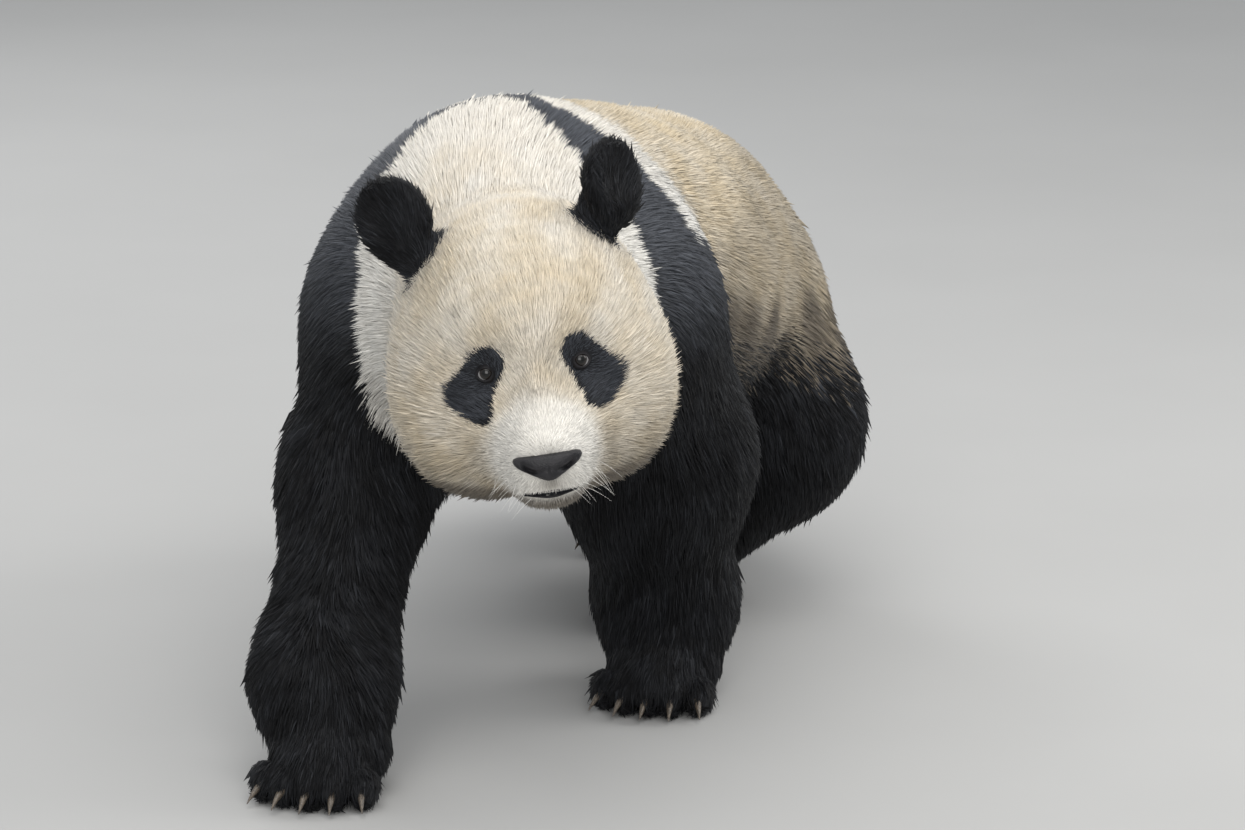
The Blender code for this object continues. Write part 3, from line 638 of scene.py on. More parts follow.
class Markings:
    """Where the coat is black, warm or brown-grey, the brown-grey partly soil and partly painted shade; skin and hair
    take the same values.

    Each tuft brings a chance of its own from 0 to 1, so that borders are crossed by single hairs and the
    haunch is a mixture of dark and pale ones. The skin's chance is 0.5.
    """

    def eye_patch(self, local: np.ndarray) -> np.ndarray:
        """Distance from the black patches: from a narrow top by the brow, wide below and outwards.

        Args:
            local: places in the head's axes.

        Returns:
            One distance for each point, negative inside.
        """
        flat = np.stack([np.abs(local[:, 0]), np.zeros(len(local)), local[:, 2]], -1)
        brow, cheek, under = (0.047, 0.0, 0.035), (0.0725, 0.0, -0.001), (0.065, 0.0, -0.013)
        outer, inner = rod(flat, brow, cheek, 0.0165, 0.0215), rod(flat, brow, under, 0.0165, 0.0165)
        inside = blend(outer, inner, 0.006)
        return np.where(local[:, 1] < 0.0, inside, 1.0)

    def band(self, points: np.ndarray) -> np.ndarray:
        """How deep each place lies in the black band over the shoulders, negative outside it."""
        x, y, z = points.T
        off = np.abs(x - SIZES.midline)
        right = smooth(x - SIZES.midline, 0.0, -0.08)
        forward = 0.135 + 0.025 * right
        front = 0.024 - forward * (1.0 - np.exp(-np.maximum(0.715 - z, 0.0) / 0.045))
        front -= 0.050 * right * smooth(z, 0.62, 0.53)
        front += 0.035 * np.exp(-(((x + 0.014) / 0.062) ** 4))
        back = 0.034 - 0.034 * bell(z - 0.505, 0.045) + 0.75 * np.maximum(0.45 - z, 0.0)
        back += 0.050 * bell(off, 0.030) * smooth(z, 0.60, 0.66)
        return np.minimum(y - front, back - y)

    def haunch(self, points: np.ndarray) -> np.ndarray:
        """The share of dark hairs on the hips: none at the back's height, all by the knee."""
        x, y, z = points.T
        outer = smooth(np.abs(x - SIZES.midline), 0.03, 0.13)
        low = smooth(z + 0.22 * (y - 0.22) + 0.012 * ripple(points, 0.10, Pattern.HAUNCH_EDGE), 0.475, 0.290)
        behind = smooth(y, 0.80, 0.72)
        either = 1.0 - (1.0 - outer) * (1.0 - behind)
        return low * smooth(y, 0.12, 0.24) * either * np.maximum(behind, outer)

    def dark(self, points: np.ndarray, share: np.ndarray, chance: np.ndarray) -> np.ndarray:
        """How black the coat is: eye patches, ears, the band over the shoulders, legs and lips."""
        local = HEAD.to_local(points)
        z = points[:, 2]
        uneven = 0.005 * ripple(points, 0.05, Pattern.BORDER_BROAD) + 0.003 * ripple(points, 0.016, Pattern.BORDER_FINE)
        hairs = chance - 0.5
        fore = smooth(self.band(points) + uneven + 0.010 * hairs, -0.002, 0.002)
        fore *= smooth(share[Part.HEAD], 0.70, 0.45)
        legs = share[Part.FORELEG_LEFT] + share[Part.FORELEG_RIGHT]
        legs += share[Part.FOREPAW_LEFT] + share[Part.FOREPAW_RIGHT]
        fore = np.maximum(fore, smooth(legs + 0.1 * hairs, 0.40, 0.50) * smooth(share[Part.HEAD], 0.5, 0.2))
        mixed = self.haunch(points) + 0.62 * hairs + 0.05 * ripple(points, 0.012, Pattern.HAUNCH_HAIRS)
        hind = np.maximum(smooth(mixed, 0.50, 0.60), smooth(z + 2.0 * uneven + 0.02 * hairs, 0.225, 0.215))
        ears = smooth(share[Part.EAR_LEFT] + share[Part.EAR_RIGHT] + 0.25 * hairs, 0.45, 0.55)
        patch = smooth(self.eye_patch(local) + 0.25 * uneven + 0.0055 * hairs, 0.0008, -0.0008)
        lips = smooth(FACE.mouth_distance(local), 0.0030, 0.0020)
        return np.clip(np.max([fore, hind, ears, patch, lips], axis=0), 0.0, 1.0)

    def warm(self, points: np.ndarray, share: np.ndarray) -> np.ndarray:
        """How tan the pale coat is: most on the forehead, cheeks and flank, least on the muzzle and by the
        band."""
        local = HEAD.to_local(points)
        from_nose = FACE.from_nose(local)
        face = 0.02 + 0.50 * smooth(from_nose, 0.060, 0.088)
        face += 0.20 * smooth(local[:, 2], -0.03, -0.09) * smooth(from_nose, 0.05, 0.09)
        by_band = smooth(-self.band(points), 0.130, 0.050)
        body = 0.30 + 0.55 * smooth(points[:, 1], 0.05, 0.22)
        body = body * (1.0 - by_band)
        whole = share[Part.HEAD] * face + (1.0 - share[Part.HEAD]) * body
        uneven = 0.20 * ripple(points, 0.09, Pattern.WARM_BROAD) + 0.10 * ripple(points, 0.03, Pattern.WARM_FINE)
        return np.clip(whole + uneven * smooth(whole, 0.0, 0.25), 0.0, 1.0)

    def soiled_and_shaded(self, points: np.ndarray, chance: np.ndarray) -> np.ndarray:
        """How brown-grey the coat is: darker towards the bottom of the flank and haunch, a few specks on the nose's
        bridge, and painted shade on the chin, the cheeks' lower side, the crease between them and the muzzle, and under
        the nose."""
        x, y, z = points.T
        # darker and mottled towards the bottom of the flank and haunch
        low = smooth(z + 0.22 * (y - 0.22) + 0.03 * ripple(points, 0.08, Pattern.FLANK_SOIL), 0.50, 0.39)
        flank = low * smooth(y, 0.10, 0.22) * smooth(np.abs(x - SIZES.midline), 0.05, 0.16)
        flank = np.minimum((0.55 + 0.40 * chance + 0.40 * low**3) * flank, 0.96)
        local = HEAD.to_local(points)
        front = local[:, 1] < -0.10
        # painted shadow under the nose
        under = np.exp(-((local[:, 0] / 0.013) ** 2) - ((local[:, 2] + 0.082) / 0.007) ** 2) * front
        bridge = np.exp(-((local[:, 0] / 0.010) ** 2) - ((local[:, 2] - 0.005) / 0.005) ** 2) * front
        specks = bridge * smooth(ripple(points, 0.006, Pattern.SPECKS), -0.1, 0.4)
        from_nose = FACE.from_nose(local)
        # painted shade in the crease between the cheeks and the muzzle
        crease = bell(from_nose - 0.092, 0.013) * smooth(local[:, 2], -0.035, -0.060)
        crease = crease * (local[:, 1] < -0.05)
        # painted shade on the cheeks' lower side and the jaw
        lower = smooth(local[:, 2], -0.045, -0.095) * smooth(from_nose, 0.06, 0.09) * (z < 0.66)
        # painted shadow under the chin
        chin = smooth(local[:, 2], -0.090, -0.108) * (np.abs(local[:, 0]) < 0.12)
        chin = chin * (local[:, 1] < 0.05) * (z < 0.66)
        face = [0.62 * under, 0.75 * specks, 0.90 * chin, 0.34 * crease, 0.32 * lower]
        return np.clip(np.max([flank, *face], axis=0), 0.0, 1.0)

    def white(self, points: np.ndarray, share: np.ndarray) -> np.ndarray:
        """How white the pale coat is: the muzzle and the flank's strip behind the band are whitest; the muzzle's
        whiteness is partly its own and partly painted light on its sides, which face sideways and down.
        """
        local = HEAD.to_local(points)
        from_nose = FACE.from_nose(local)
        # the muzzle: whiter hair of its own, and painted light where its sides face away from the lamps
        muzzle = smooth(from_nose, 0.098, 0.060) * smooth(local[:, 2], 0.03, -0.03) * share[Part.HEAD]
        strip = smooth(-self.band(points), 0.130, 0.050) * smooth(points[:, 2], 0.68, 0.58)
        return np.clip(0.8 * muzzle + (1.0 - share[Part.HEAD]) * strip, 0.0, 1.0)

    def colours(self, points: np.ndarray, share: np.ndarray, chance: np.ndarray) -> np.ndarray:
        """The four markings, as one row for each point."""
        dark, warm = self.dark(points, share, chance), self.warm(points, share)
        return np.stack([dark, warm, self.soiled_and_shaded(points, chance), self.white(points, share)], -1)


# ---------------------------------------------------------------------------------------------------------
# Drawing a surface out of a field


@dataclass
class SurfaceNet:
    """One vertex in each grid cell that a field's surface crosses, a quad round each crossed grid edge."""

    field: Field
    low: Triple
    high: Triple
    step: float

    def sampled(self, axes: list[np.ndarray], block: int = 8) -> np.ndarray:
        """The field on the grid. A block of points far from the surface takes its middle's value."""
        grid = np.stack(np.meshgrid(*axes, indexing="ij"), -1)
        values = np.empty(grid.shape[:3])
        starts = [range(0, count, block) for count in grid.shape[:3]]
        boxes = [tuple(slice(at, at + block) for at in corner) for corner in product(*starts)]
        middles = np.array([grid[box].reshape(-1, 3).mean(0) for box in boxes])
        reach = block * self.step * 1.3  # past this no surface crosses the block
        near = []
        for box, middle in zip(boxes, self.field(middles)):
            values[box] = middle
            if abs(middle) < reach:
                near.append(box)
        for start in range(0, len(near), BATCH):
            some = near[start : start + BATCH]
            found = self.field(np.concatenate([grid[box].reshape(-1, 3) for box in some]))
            ends = np.cumsum([values[box].size for box in some])[:-1]
            for box, part in zip(some, np.split(found, ends)):
                values[box] = part.reshape(values[box].shape)
        return values

    def clear_of_pinches(self, values: np.ndarray) -> np.ndarray:
        """Fills a corner where two inside corners face each other across a grid square."""
        found = True
        while found:
            found = False
            for axis in range(3):
                u, v = np.eye(3, dtype=int)[[(axis + 1) % 3, (axis + 2) % 3]]
                corners = [np.zeros(3, int), u, u + v, v]
                spans = np.array(values.shape) - u - v
                cuts = [tuple(slice(c, c + n) for c, n in zip(corner, spans)) for corner in corners]
                inside = [values[cut] < 0 for cut in cuts]
                pinched = (inside[0] == inside[2]) & (inside[1] == inside[3]) & (inside[0] != inside[1])
                for place in np.argwhere(pinched):
                    around = [tuple(place + corner) for corner in corners]
                    outside = [at for at in around if values[at] >= 0]
                    if len(outside) == 2:
                        values[min(outside, key=lambda at: values[at])] = -0.05 * self.step
                        found = True
        return values

    def drawn(self) -> tuple[np.ndarray, np.ndarray]:
        """The surface.

        Returns:
            Its points, and its quads as rows of four point numbers, facing outwards.
        """
        low, high = np.array(self.low), np.array(self.high)
        counts = np.ceil((high - low) / self.step).astype(int) + 1
        axes = [low[i] + self.step * np.arange(counts[i]) for i in range(3)]
        values = self.clear_of_pinches(self.sampled(axes))
        cells = counts - 1
        total, crossings = np.zeros((*cells, 3), np.float32), np.zeros(cells, np.float32)
        for axis in range(3):
            others = [i for i in range(3) if i != axis]
            for a, b in product((0, 1), (0, 1)):
                start, span = [0, 0, 0], [0, 0, 0]
                start[others[0]], start[others[1]], span[axis] = a, b, 1
                near = tuple(slice(s, s + c) for s, c in zip(start, cells))
                far = tuple(slice(s + d, s + d + c) for s, d, c in zip(start, span, cells))
                one, two = values[near], values[far]
                crossed = (one < 0) != (two < 0)
                place = np.array(start, float) * np.ones((crossed.sum(), 3))
                place[:, axis] += one[crossed] / (one[crossed] - two[crossed])
                total[crossed] += place
                crossings += crossed
        active = crossings > 0
        index = np.full(cells, -1)
        index[active] = np.arange(active.sum())
        base = np.stack(np.nonzero(active), -1)
        points = low + self.step * (base + total[active] / crossings[active][:, None])
        return points, self.quads(values, cells, index)

    def quads(self, values: np.ndarray, cells: np.ndarray, index: np.ndarray) -> np.ndarray:
        """One quad round each crossed grid edge, through the four cells that share it."""
        quads = []
        for axis in range(3):
            u, v = (axis + 1) % 3, (axis + 2) % 3
            shape = [slice(1, c) for c in cells]
            shape[axis] = slice(0, cells[axis])
            one = values[tuple(shape)]
            shape[axis] = slice(1, cells[axis] + 1)
            two = values[tuple(shape)]
            crossed = (one < 0) != (two < 0)
            place = np.stack(np.nonzero(crossed), -1)
            place[:, u] += 1
            place[:, v] += 1
            corners = []
            for du, dv in ((-1, -1), (0, -1), (0, 0), (-1, 0)):
                cell = place.copy()
                cell[:, u] += du
                cell[:, v] += dv
                corners.append(index[tuple(cell.T)])
            quad = np.stack(corners, -1)
            quads.append(np.where((one[crossed] < 0)[:, None], quad, quad[:, ::-1]))
        return np.concatenate(quads)


def slope(field_: Field, points: np.ndarray) -> np.ndarray:
    """The field's slope, from the difference over half a millimetre to each side."""
    reach = 0.0005
    steps = reach * np.eye(3)
    return np.stack([field_(points + step) - field_(points - step) for step in steps], -1) / (2 * reach)


def on_surface(field_: Field, points: np.ndarray, rounds: int = 2) -> np.ndarray:
    """Moves points along the field's slope until they lie on its surface."""
    for _ in range(rounds):
        way = slope(field_, points)
        size2 = np.maximum(np.einsum("ij,ij->i", way, way), 0.05)
        points = points - way * np.clip(field_(points) / size2, -0.01, 0.01)[:, None]
    return points


# ---------------------------------------------------------------------------------------------------------
# Meshes


@dataclass(frozen=True)
class Stage:
    """Puts finished meshes into the row's frame."""

    shift: Triple

    def piece(
        self,
        name: str,
        points: np.ndarray,
        faces: Faces,
        finish: bpy.types.Material,
        slot: str,
    ) -> bpy.types.Object:
        """Makes one piece that rides on the body.

        Args:
            name: the piece's name.
            points: its points in the body's axes.
            faces: arrays of faces, each with its own number of corners.
            finish: its material.
            slot: the record's material slot; not used.

        Returns:
            The new object.
        """
        mesh = bpy.data.meshes.new(name)
        sizes = np.concatenate([np.full(len(part), part.shape[1]) for part in faces])
        corners = np.concatenate([part.ravel() for part in faces])
        mesh.vertices.add(len(points))
        mesh.vertices.foreach_set("co", (points + np.array(self.shift)).astype(np.float32).ravel())
        mesh.loops.add(len(corners))
        mesh.loops.foreach_set("vertex_index", corners.astype(np.int32))
        mesh.polygons.add(len(sizes))
        mesh.polygons.foreach_set("loop_start", (np.cumsum(sizes) - sizes).astype(np.int32))
        mesh.update(calc_edges=True)
        mesh.polygons.foreach_set("use_smooth", np.full(len(sizes), True))
        mesh.materials.append(finish)
        obj = bpy.data.objects.new(name, mesh)
        bpy.context.scene.collection.objects.link(obj)
        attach(obj, BODY)
        return obj


def write_colours(mesh: bpy.types.Mesh, name: str, values: np.ndarray) -> None:
    """Stores four numbers at each vertex under a name that materials can read."""
    attribute = mesh.attributes.new(name, "FLOAT_COLOR", "POINT")
    attribute.data.foreach_set("color", values.astype(np.float32).ravel())


def grid_faces(rows: int, columns: int, closed_rows: bool = False) -> np.ndarray:
    """Quads over a grid of points whose columns run round in a ring.

    Args:
        rows: number of rings.
        columns: number of points in a ring.
        closed_rows: True if the last ring meets the first.

    Returns:
        Rows of four point numbers.
    """
    row = np.arange(rows if closed_rows else rows - 1)[:, None]
    column = np.arange(columns)[None, :]
    above, beside = (row + 1) % rows, (column + 1) % columns
    corners = [(row, column), (row, beside), (above, beside), (above, column)]
    return np.stack([one * columns + other for one, other in corners], -1).reshape(-1, 4)


def capped_faces(rows: int, sides: int) -> Faces:
    """Quads over rings of points, and triangles to the two end points, which are numbered after the rings.

    Args:
        rows: number of rings.
        sides: number of points in a ring.

    Returns:
        The quads and the triangles, which face outwards where the rings turn left seen from the first end
        point.
    """
    here = np.arange(sides)
    beside = (here + 1) % sides
    last_ring = (rows - 1) * sides
    first, last = np.full(sides, rows * sides), np.full(sides, rows * sides + 1)
    caps = [np.stack([first, here, beside], -1), np.stack([last, last_ring + beside, last_ring + here], -1)]
    return [grid_faces(rows, sides)[:, ::-1], np.concatenate(caps)]


def tubes(paths: np.ndarray, radii: np.ndarray, sides: int) -> tuple[np.ndarray, Faces]:
    """Closed round tubes along several paths: rings square to each path, with a point at either end.

    Args:
        paths: (tubes, steps, 3) middle points.
        radii: (tubes, steps) radii.
        sides: number of points in a ring.

    Returns:
        Points and face arrays.
    """
    count, steps = paths.shape[:2]
    along = np.gradient(paths, axis=1)
    along /= np.linalg.norm(along, axis=2, keepdims=True)
    up = np.where(np.abs(along[..., 2:]) > 0.9, np.array([0.0, 1.0, 0.0]), np.array([0.0, 0.0, 1.0]))
    one = np.cross(up, along)
    one /= np.linalg.norm(one, axis=2, keepdims=True)
    two = np.cross(along, one)
    turn = 2.0 * math.pi * np.arange(sides) / sides
    ring = np.cos(turn)[:, None] * one[:, :, None, :] + np.sin(turn)[:, None] * two[:, :, None, :]
    rings = paths[:, :, None, :] + radii[:, :, None, None] * ring
    first, last = paths[:, 0] - along[:, 0] * radii[:, :1], paths[:, -1] + along[:, -1] * radii[:, -1:]
    points = np.concatenate([rings.reshape(count, -1, 3), np.stack([first, last], 1)], 1)
    start = (points.shape[1] * np.arange(count))[:, None, None]
    faces = [part[:, ::-1] for part in capped_faces(steps, sides)]
    return points.reshape(-1, 3), [(part + start).reshape(-1, part.shape[1]) for part in faces]


# ---------------------------------------------------------------------------------------------------------
# Finishes


class Nodes:
    """Adds and joins the nodes of one material."""

    def __init__(self, name: str) -> None:
        """Starts a material with a Principled shader."""
        self.material = bpy.data.materials.new(name)
        self.material.use_nodes = True
        self.tree = self.material.node_tree
        self.shader = self.tree.nodes["Principled BSDF"]

    def add(self, kind: str, settings: dict | None = None, inputs: dict | None = None) -> bpy.types.Node:
        """Adds a node, with its settings and the values or links of its inputs."""
        node = self.tree.nodes.new("ShaderNode" + kind)
        for key, value in (settings or {}).items():
            setattr(node, key, value)
        for key, value in (inputs or {}).items():
            self.give(node.inputs[key], value)
        return node

    def give(self, socket: bpy.types.NodeSocket, value: object) -> None:
        """Links a socket, or sets its value."""
        if isinstance(value, bpy.types.NodeSocket):
            self.tree.links.new(value, socket)
        else:
            socket.default_value = value

    def mix(self, share: object, a: object, b: object, how: str = "MIX") -> bpy.types.NodeSocket:
        """Mixes two colours."""
        node = self.add("Mix", {"data_type": "RGBA", "blend_type": how, "clamp_factor": True})
        for socket, value in zip([node.inputs[0], node.inputs[6], node.inputs[7]], [share, a, b]):
            self.give(socket, value)
        return node.outputs[2]

    def dimmed(self, colour: object, by: object) -> bpy.types.NodeSocket:
        """A colour times a number."""
        grey = self.add("CombineColor", inputs={"Red": by, "Green": by, "Blue": by}).outputs[0]
        return self.mix(1.0, colour, grey, "MULTIPLY")

    def math(self, how: str, *values: object) -> bpy.types.NodeSocket:
        """One step of arithmetic."""
        node = self.add("Math", {"operation": how})
        for socket, value in zip(node.inputs, values):
            self.give(socket, value)
        return node.outputs[0]

    def spread(self, *numbers: object) -> bpy.types.NodeSocket:
        """Maps a value from one range to another: the value, the range's ends and the new range's ends."""
        node = self.add("MapRange")
        for socket, number in zip(node.inputs, numbers):
            self.give(socket, number)
        return node.outputs[0]

    def noise(self, scale: float, detail: float = 3.0, vector: object = None) -> bpy.types.NodeSocket:
        """Noise on Object coordinates or on a given vector."""
        if vector is None:
            vector = self.add("TexCoord").outputs["Object"]
        inputs = {"Scale": scale, "Detail": detail, "Vector": vector}
        return self.add("TexNoise", inputs=inputs).outputs["Fac"]

    def bump(self, height: object, distance: float, strength: float = 1.0) -> None:
        """Bumps the surface."""
        made = self.add("Bump", inputs={"Height": height, "Distance": distance, "Strength": strength})
        self.tree.links.new(made.outputs["Normal"], self.shader.inputs["Normal"])

    def dress(self, **values: object) -> bpy.types.Material:
        """Sets or links the shader's own inputs, by name with _ for a space, and returns the material."""
        for key, value in values.items():
            self.give(self.shader.inputs[key.replace("_", " ")], value)
        return self.material


def rgb(red: float, green: float, blue: float) -> Colour:
    """A linear colour with full opacity."""
    return (red, green, blue, 1.0)


@dataclass(frozen=True)
class FurFinish:
    """Hair and the skin under it: white, cream, tan, black, or brown-grey from soil and from painted shade, as the
    markings say. Each tuft has a tone of its own and is darker at its root, a painted shade among the hair; a few of
    the black ones are grey, and black ones over the shoulders and in the eye patches are lighter as a painted sheen."""

    # the whitest hair: on the flank's strip, and on the muzzle, where it is partly painted light
    white: Colour = rgb(0.95, 0.925, 0.87)
    pale: Colour = rgb(0.84, 0.80, 0.73)
    tan: Colour = rgb(0.70, 0.59, 0.42)
    # brown-grey: soil, specks and a darker lower flank, and painted shade on the chin, jaw, crease and under the nose
    soil: Colour = rgb(0.16, 0.135, 0.105)
    black: Colour = rgb(0.0055, 0.0056, 0.0066)
    # the lightest black tuft: real grey hairs, and painted sheen on black fur over the shoulders and in the eye patches
    grey: Colour = rgb(0.085, 0.092, 0.108)
    roughness: float = 0.60
    gloss: float = 0.16
    tones: tuple[float, float] = (0.78, 1.12)  # the darkest and the lightest pale tuft
    # painted shade among the hair: each tuft is darkest at its root
    root_to_tip_painted_shade: tuple[float, float] = (0.80, 1.03)  # at a tuft's root and at its tip
    border: tuple[float, float] = (0.38, 0.62)  # the dark marking's values where black begins and is full

    def make(self, name: str, rough_skin: bool) -> bpy.types.Material:
        """Builds the material.

        Args:
            name: the material's name.
            rough_skin: True for the skin, which has a grain of short hair in place of tufts.

        Returns:
            The material.
        """
        nodes = Nodes(name)
        marking = nodes.add("Attribute", {"attribute_name": "marking"}).outputs
        marks = nodes.add("SeparateColor", inputs={"Color": marking["Color"]}).outputs
        strand = nodes.add("Attribute", {"attribute_name": "strand"}).outputs["Color"]
        strands = nodes.add("SeparateColor", inputs={"Color": strand}).outputs
        mottle = nodes.spread(nodes.noise(38.0, 4.0), 0.3, 0.7, -0.08, 0.08)
        pale = nodes.mix(nodes.math("ADD", marks["Green"], mottle), self.pale, self.tan)
        pale = nodes.mix(marking["Alpha"], pale, self.white)
        # brown-grey: real specks and a darker lower flank, and painted shade on the chin, jaw, crease and under the
        # nose
        pale = nodes.mix(marks["Blue"], pale, self.soil)
        pale = nodes.dimmed(pale, nodes.spread(strands["Green"], 0.0, 1.0, *self.tones))
        dark = nodes.mix(strands["Green"], self.black, self.grey)
        base = nodes.mix(nodes.spread(marks["Red"], *self.border, 0.0, 1.0), pale, dark)
        # painted shade: each tuft darkens towards its root
        colour = nodes.dimmed(base, nodes.spread(strands["Red"], 0.0, 1.0, *self.root_to_tip_painted_shade))
        if rough_skin:
            nodes.bump(nodes.noise(900.0, 2.0), 0.0008, 0.6)
        return nodes.dress(
            Base_Color=colour,
            Roughness=self.roughness,
            Specular_IOR_Level=self.gloss,
            Sheen_Weight=0.05,
            Sheen_Roughness=0.45,
            Sheen_Tint=rgb(0.95, 0.97, 1.0),
        )


@dataclass(frozen=True)
class LeatherFinish:
    """Damp dark skin with a pebbled grain."""

    colour: Colour = rgb(0.012, 0.012, 0.014)
    worn: Colour = rgb(0.030, 0.028, 0.031)
    pebble: float = 620.0
    depth: float = 0.0005
    roughness: float = 0.46
    gloss: float = 0.28

    def make(self, name: str) -> bpy.types.Material:
        """Builds the material."""
        nodes = Nodes(name)
        place = nodes.add("TexCoord").outputs["Object"]
        cells = nodes.add("TexVoronoi", inputs={"Vector": place, "Scale": self.pebble}).outputs["Distance"]
        patchy = nodes.noise(90.0, 4.0)
        colour = nodes.mix(nodes.spread(patchy, 0.35, 0.7, 0.0, 0.8), self.colour, self.worn)
        nodes.bump(cells, self.depth, 0.7)
        rough = nodes.spread(patchy, 0.3, 0.7, self.roughness - 0.08, self.roughness + 0.10)
        return nodes.dress(Base_Color=colour, Roughness=rough, Specular_IOR_Level=self.gloss)


@dataclass(frozen=True)
class EyeFinish:
    """A dark brown eye under a clear wet surface: round black pupil, streaked iris, grey-pink white."""

    pupil: float = 0.24  # share of the way from the pole to the equator
    iris: float = 0.48
    pupil_colour: Colour = rgb(0.002, 0.002, 0.002)
    iris_colours: tuple[Colour, Colour] = (rgb(0.005, 0.004, 0.0035), rgb(0.016, 0.011, 0.009))
    white_colours: tuple[Colour, Colour] = (rgb(0.20, 0.195, 0.20), rgb(0.40, 0.39, 0.39))

    def make(self, name: str) -> bpy.types.Material:
        """Builds the material, which reads each vertex's polar distance and turn."""
        nodes = Nodes(name)
        polar = nodes.add("Attribute", {"attribute_name": "polar"}).outputs["Color"]
        parts = nodes.add("SeparateColor", inputs={"Color": polar}).outputs
        place = nodes.add("CombineXYZ", inputs={"X": parts["Green"], "Y": parts["Blue"]}).outputs[0]
        streaks = nodes.noise(9.0, 5.0, place)
        streaks = nodes.spread(streaks, 0.3, 0.7, 0.0, 1.0)
        brown = nodes.mix(streaks, *self.iris_colours)
        outer = nodes.spread(parts["Red"], self.iris - 0.03, self.iris + 0.03, 0.0, 1.0)
        white = nodes.mix(nodes.noise(300.0), *self.white_colours)
        colour = nodes.mix(outer, brown, white)
        inner = nodes.spread(parts["Red"], self.pupil - 0.02, self.pupil + 0.02, 1.0, 0.0)
        colour = nodes.mix(inner, colour, self.pupil_colour)
        return nodes.dress(
            Base_Color=colour,
            Roughness=0.16,
            Specular_IOR_Level=0.25,
            Coat_Weight=0.35,
            Coat_Roughness=0.03,
        )


@dataclass(frozen=True)
class HornFinish:
    """Horn in two shades, mixed in faint lengthwise streaks."""

    root: Colour = rgb(0.16, 0.13, 0.10)
    tip: Colour = rgb(0.05, 0.042, 0.035)

    def make(self, name: str) -> bpy.types.Material:
        """Builds the material."""
        nodes = Nodes(name)
        place = nodes.add("TexCoord").outputs["Object"]
        stretched = nodes.add("Mapping", inputs={"Vector": place, "Scale": (900.0, 60.0, 900.0)}).outputs[0]
        streaks = nodes.noise(1.0, 3.0, stretched)
        colour = nodes.mix(nodes.spread(streaks, 0.35, 0.65, 0.0, 1.0), self.root, self.tip)
        nodes.bump(streaks, 0.0003, 0.5)
        return nodes.dress(Base_Color=colour, Roughness=0.38, Specular_IOR_Level=0.5)


@dataclass(frozen=True)
class WhiskerFinish:
    """Stiff pale hair."""

    colours: tuple[Colour, Colour] = (rgb(0.75, 0.73, 0.68), rgb(0.90, 0.89, 0.86))

    def make(self, name: str) -> bpy.types.Material:
        """Builds the material."""
        nodes = Nodes(name)
        colour = nodes.mix(nodes.noise(200.0), *self.colours)
        return nodes.dress(Base_Color=colour, Roughness=0.40)


@dataclass(frozen=True)
class Finishes:
    """The materials, one of each."""

    hair: bpy.types.Material
    skin: bpy.types.Material
    leather: bpy.types.Material
    lid: bpy.types.Material
    eye: bpy.types.Material
    horn: bpy.types.Material
    whisker: bpy.types.Material


def all_finishes() -> Finishes:
    """Builds every material."""
    fur = FurFinish()
    lid = LeatherFinish(
        colour=rgb(0.006, 0.006, 0.007), pebble=1500.0, depth=0.0002, roughness=0.42, gloss=0.20
    )
    return Finishes(
        hair=fur.make("hair", False),
        skin=fur.make("furred_skin", True),
        leather=LeatherFinish().make("nose_leather"),
        lid=lid.make("lid_skin"),
        eye=EyeFinish().make("wet_eye"),
        horn=HornFinish().make("claw_horn"),
        whisker=WhiskerFinish().make("whisker_hair"),
    )


# ---------------------------------------------------------------------------------------------------------
# Skin and coat


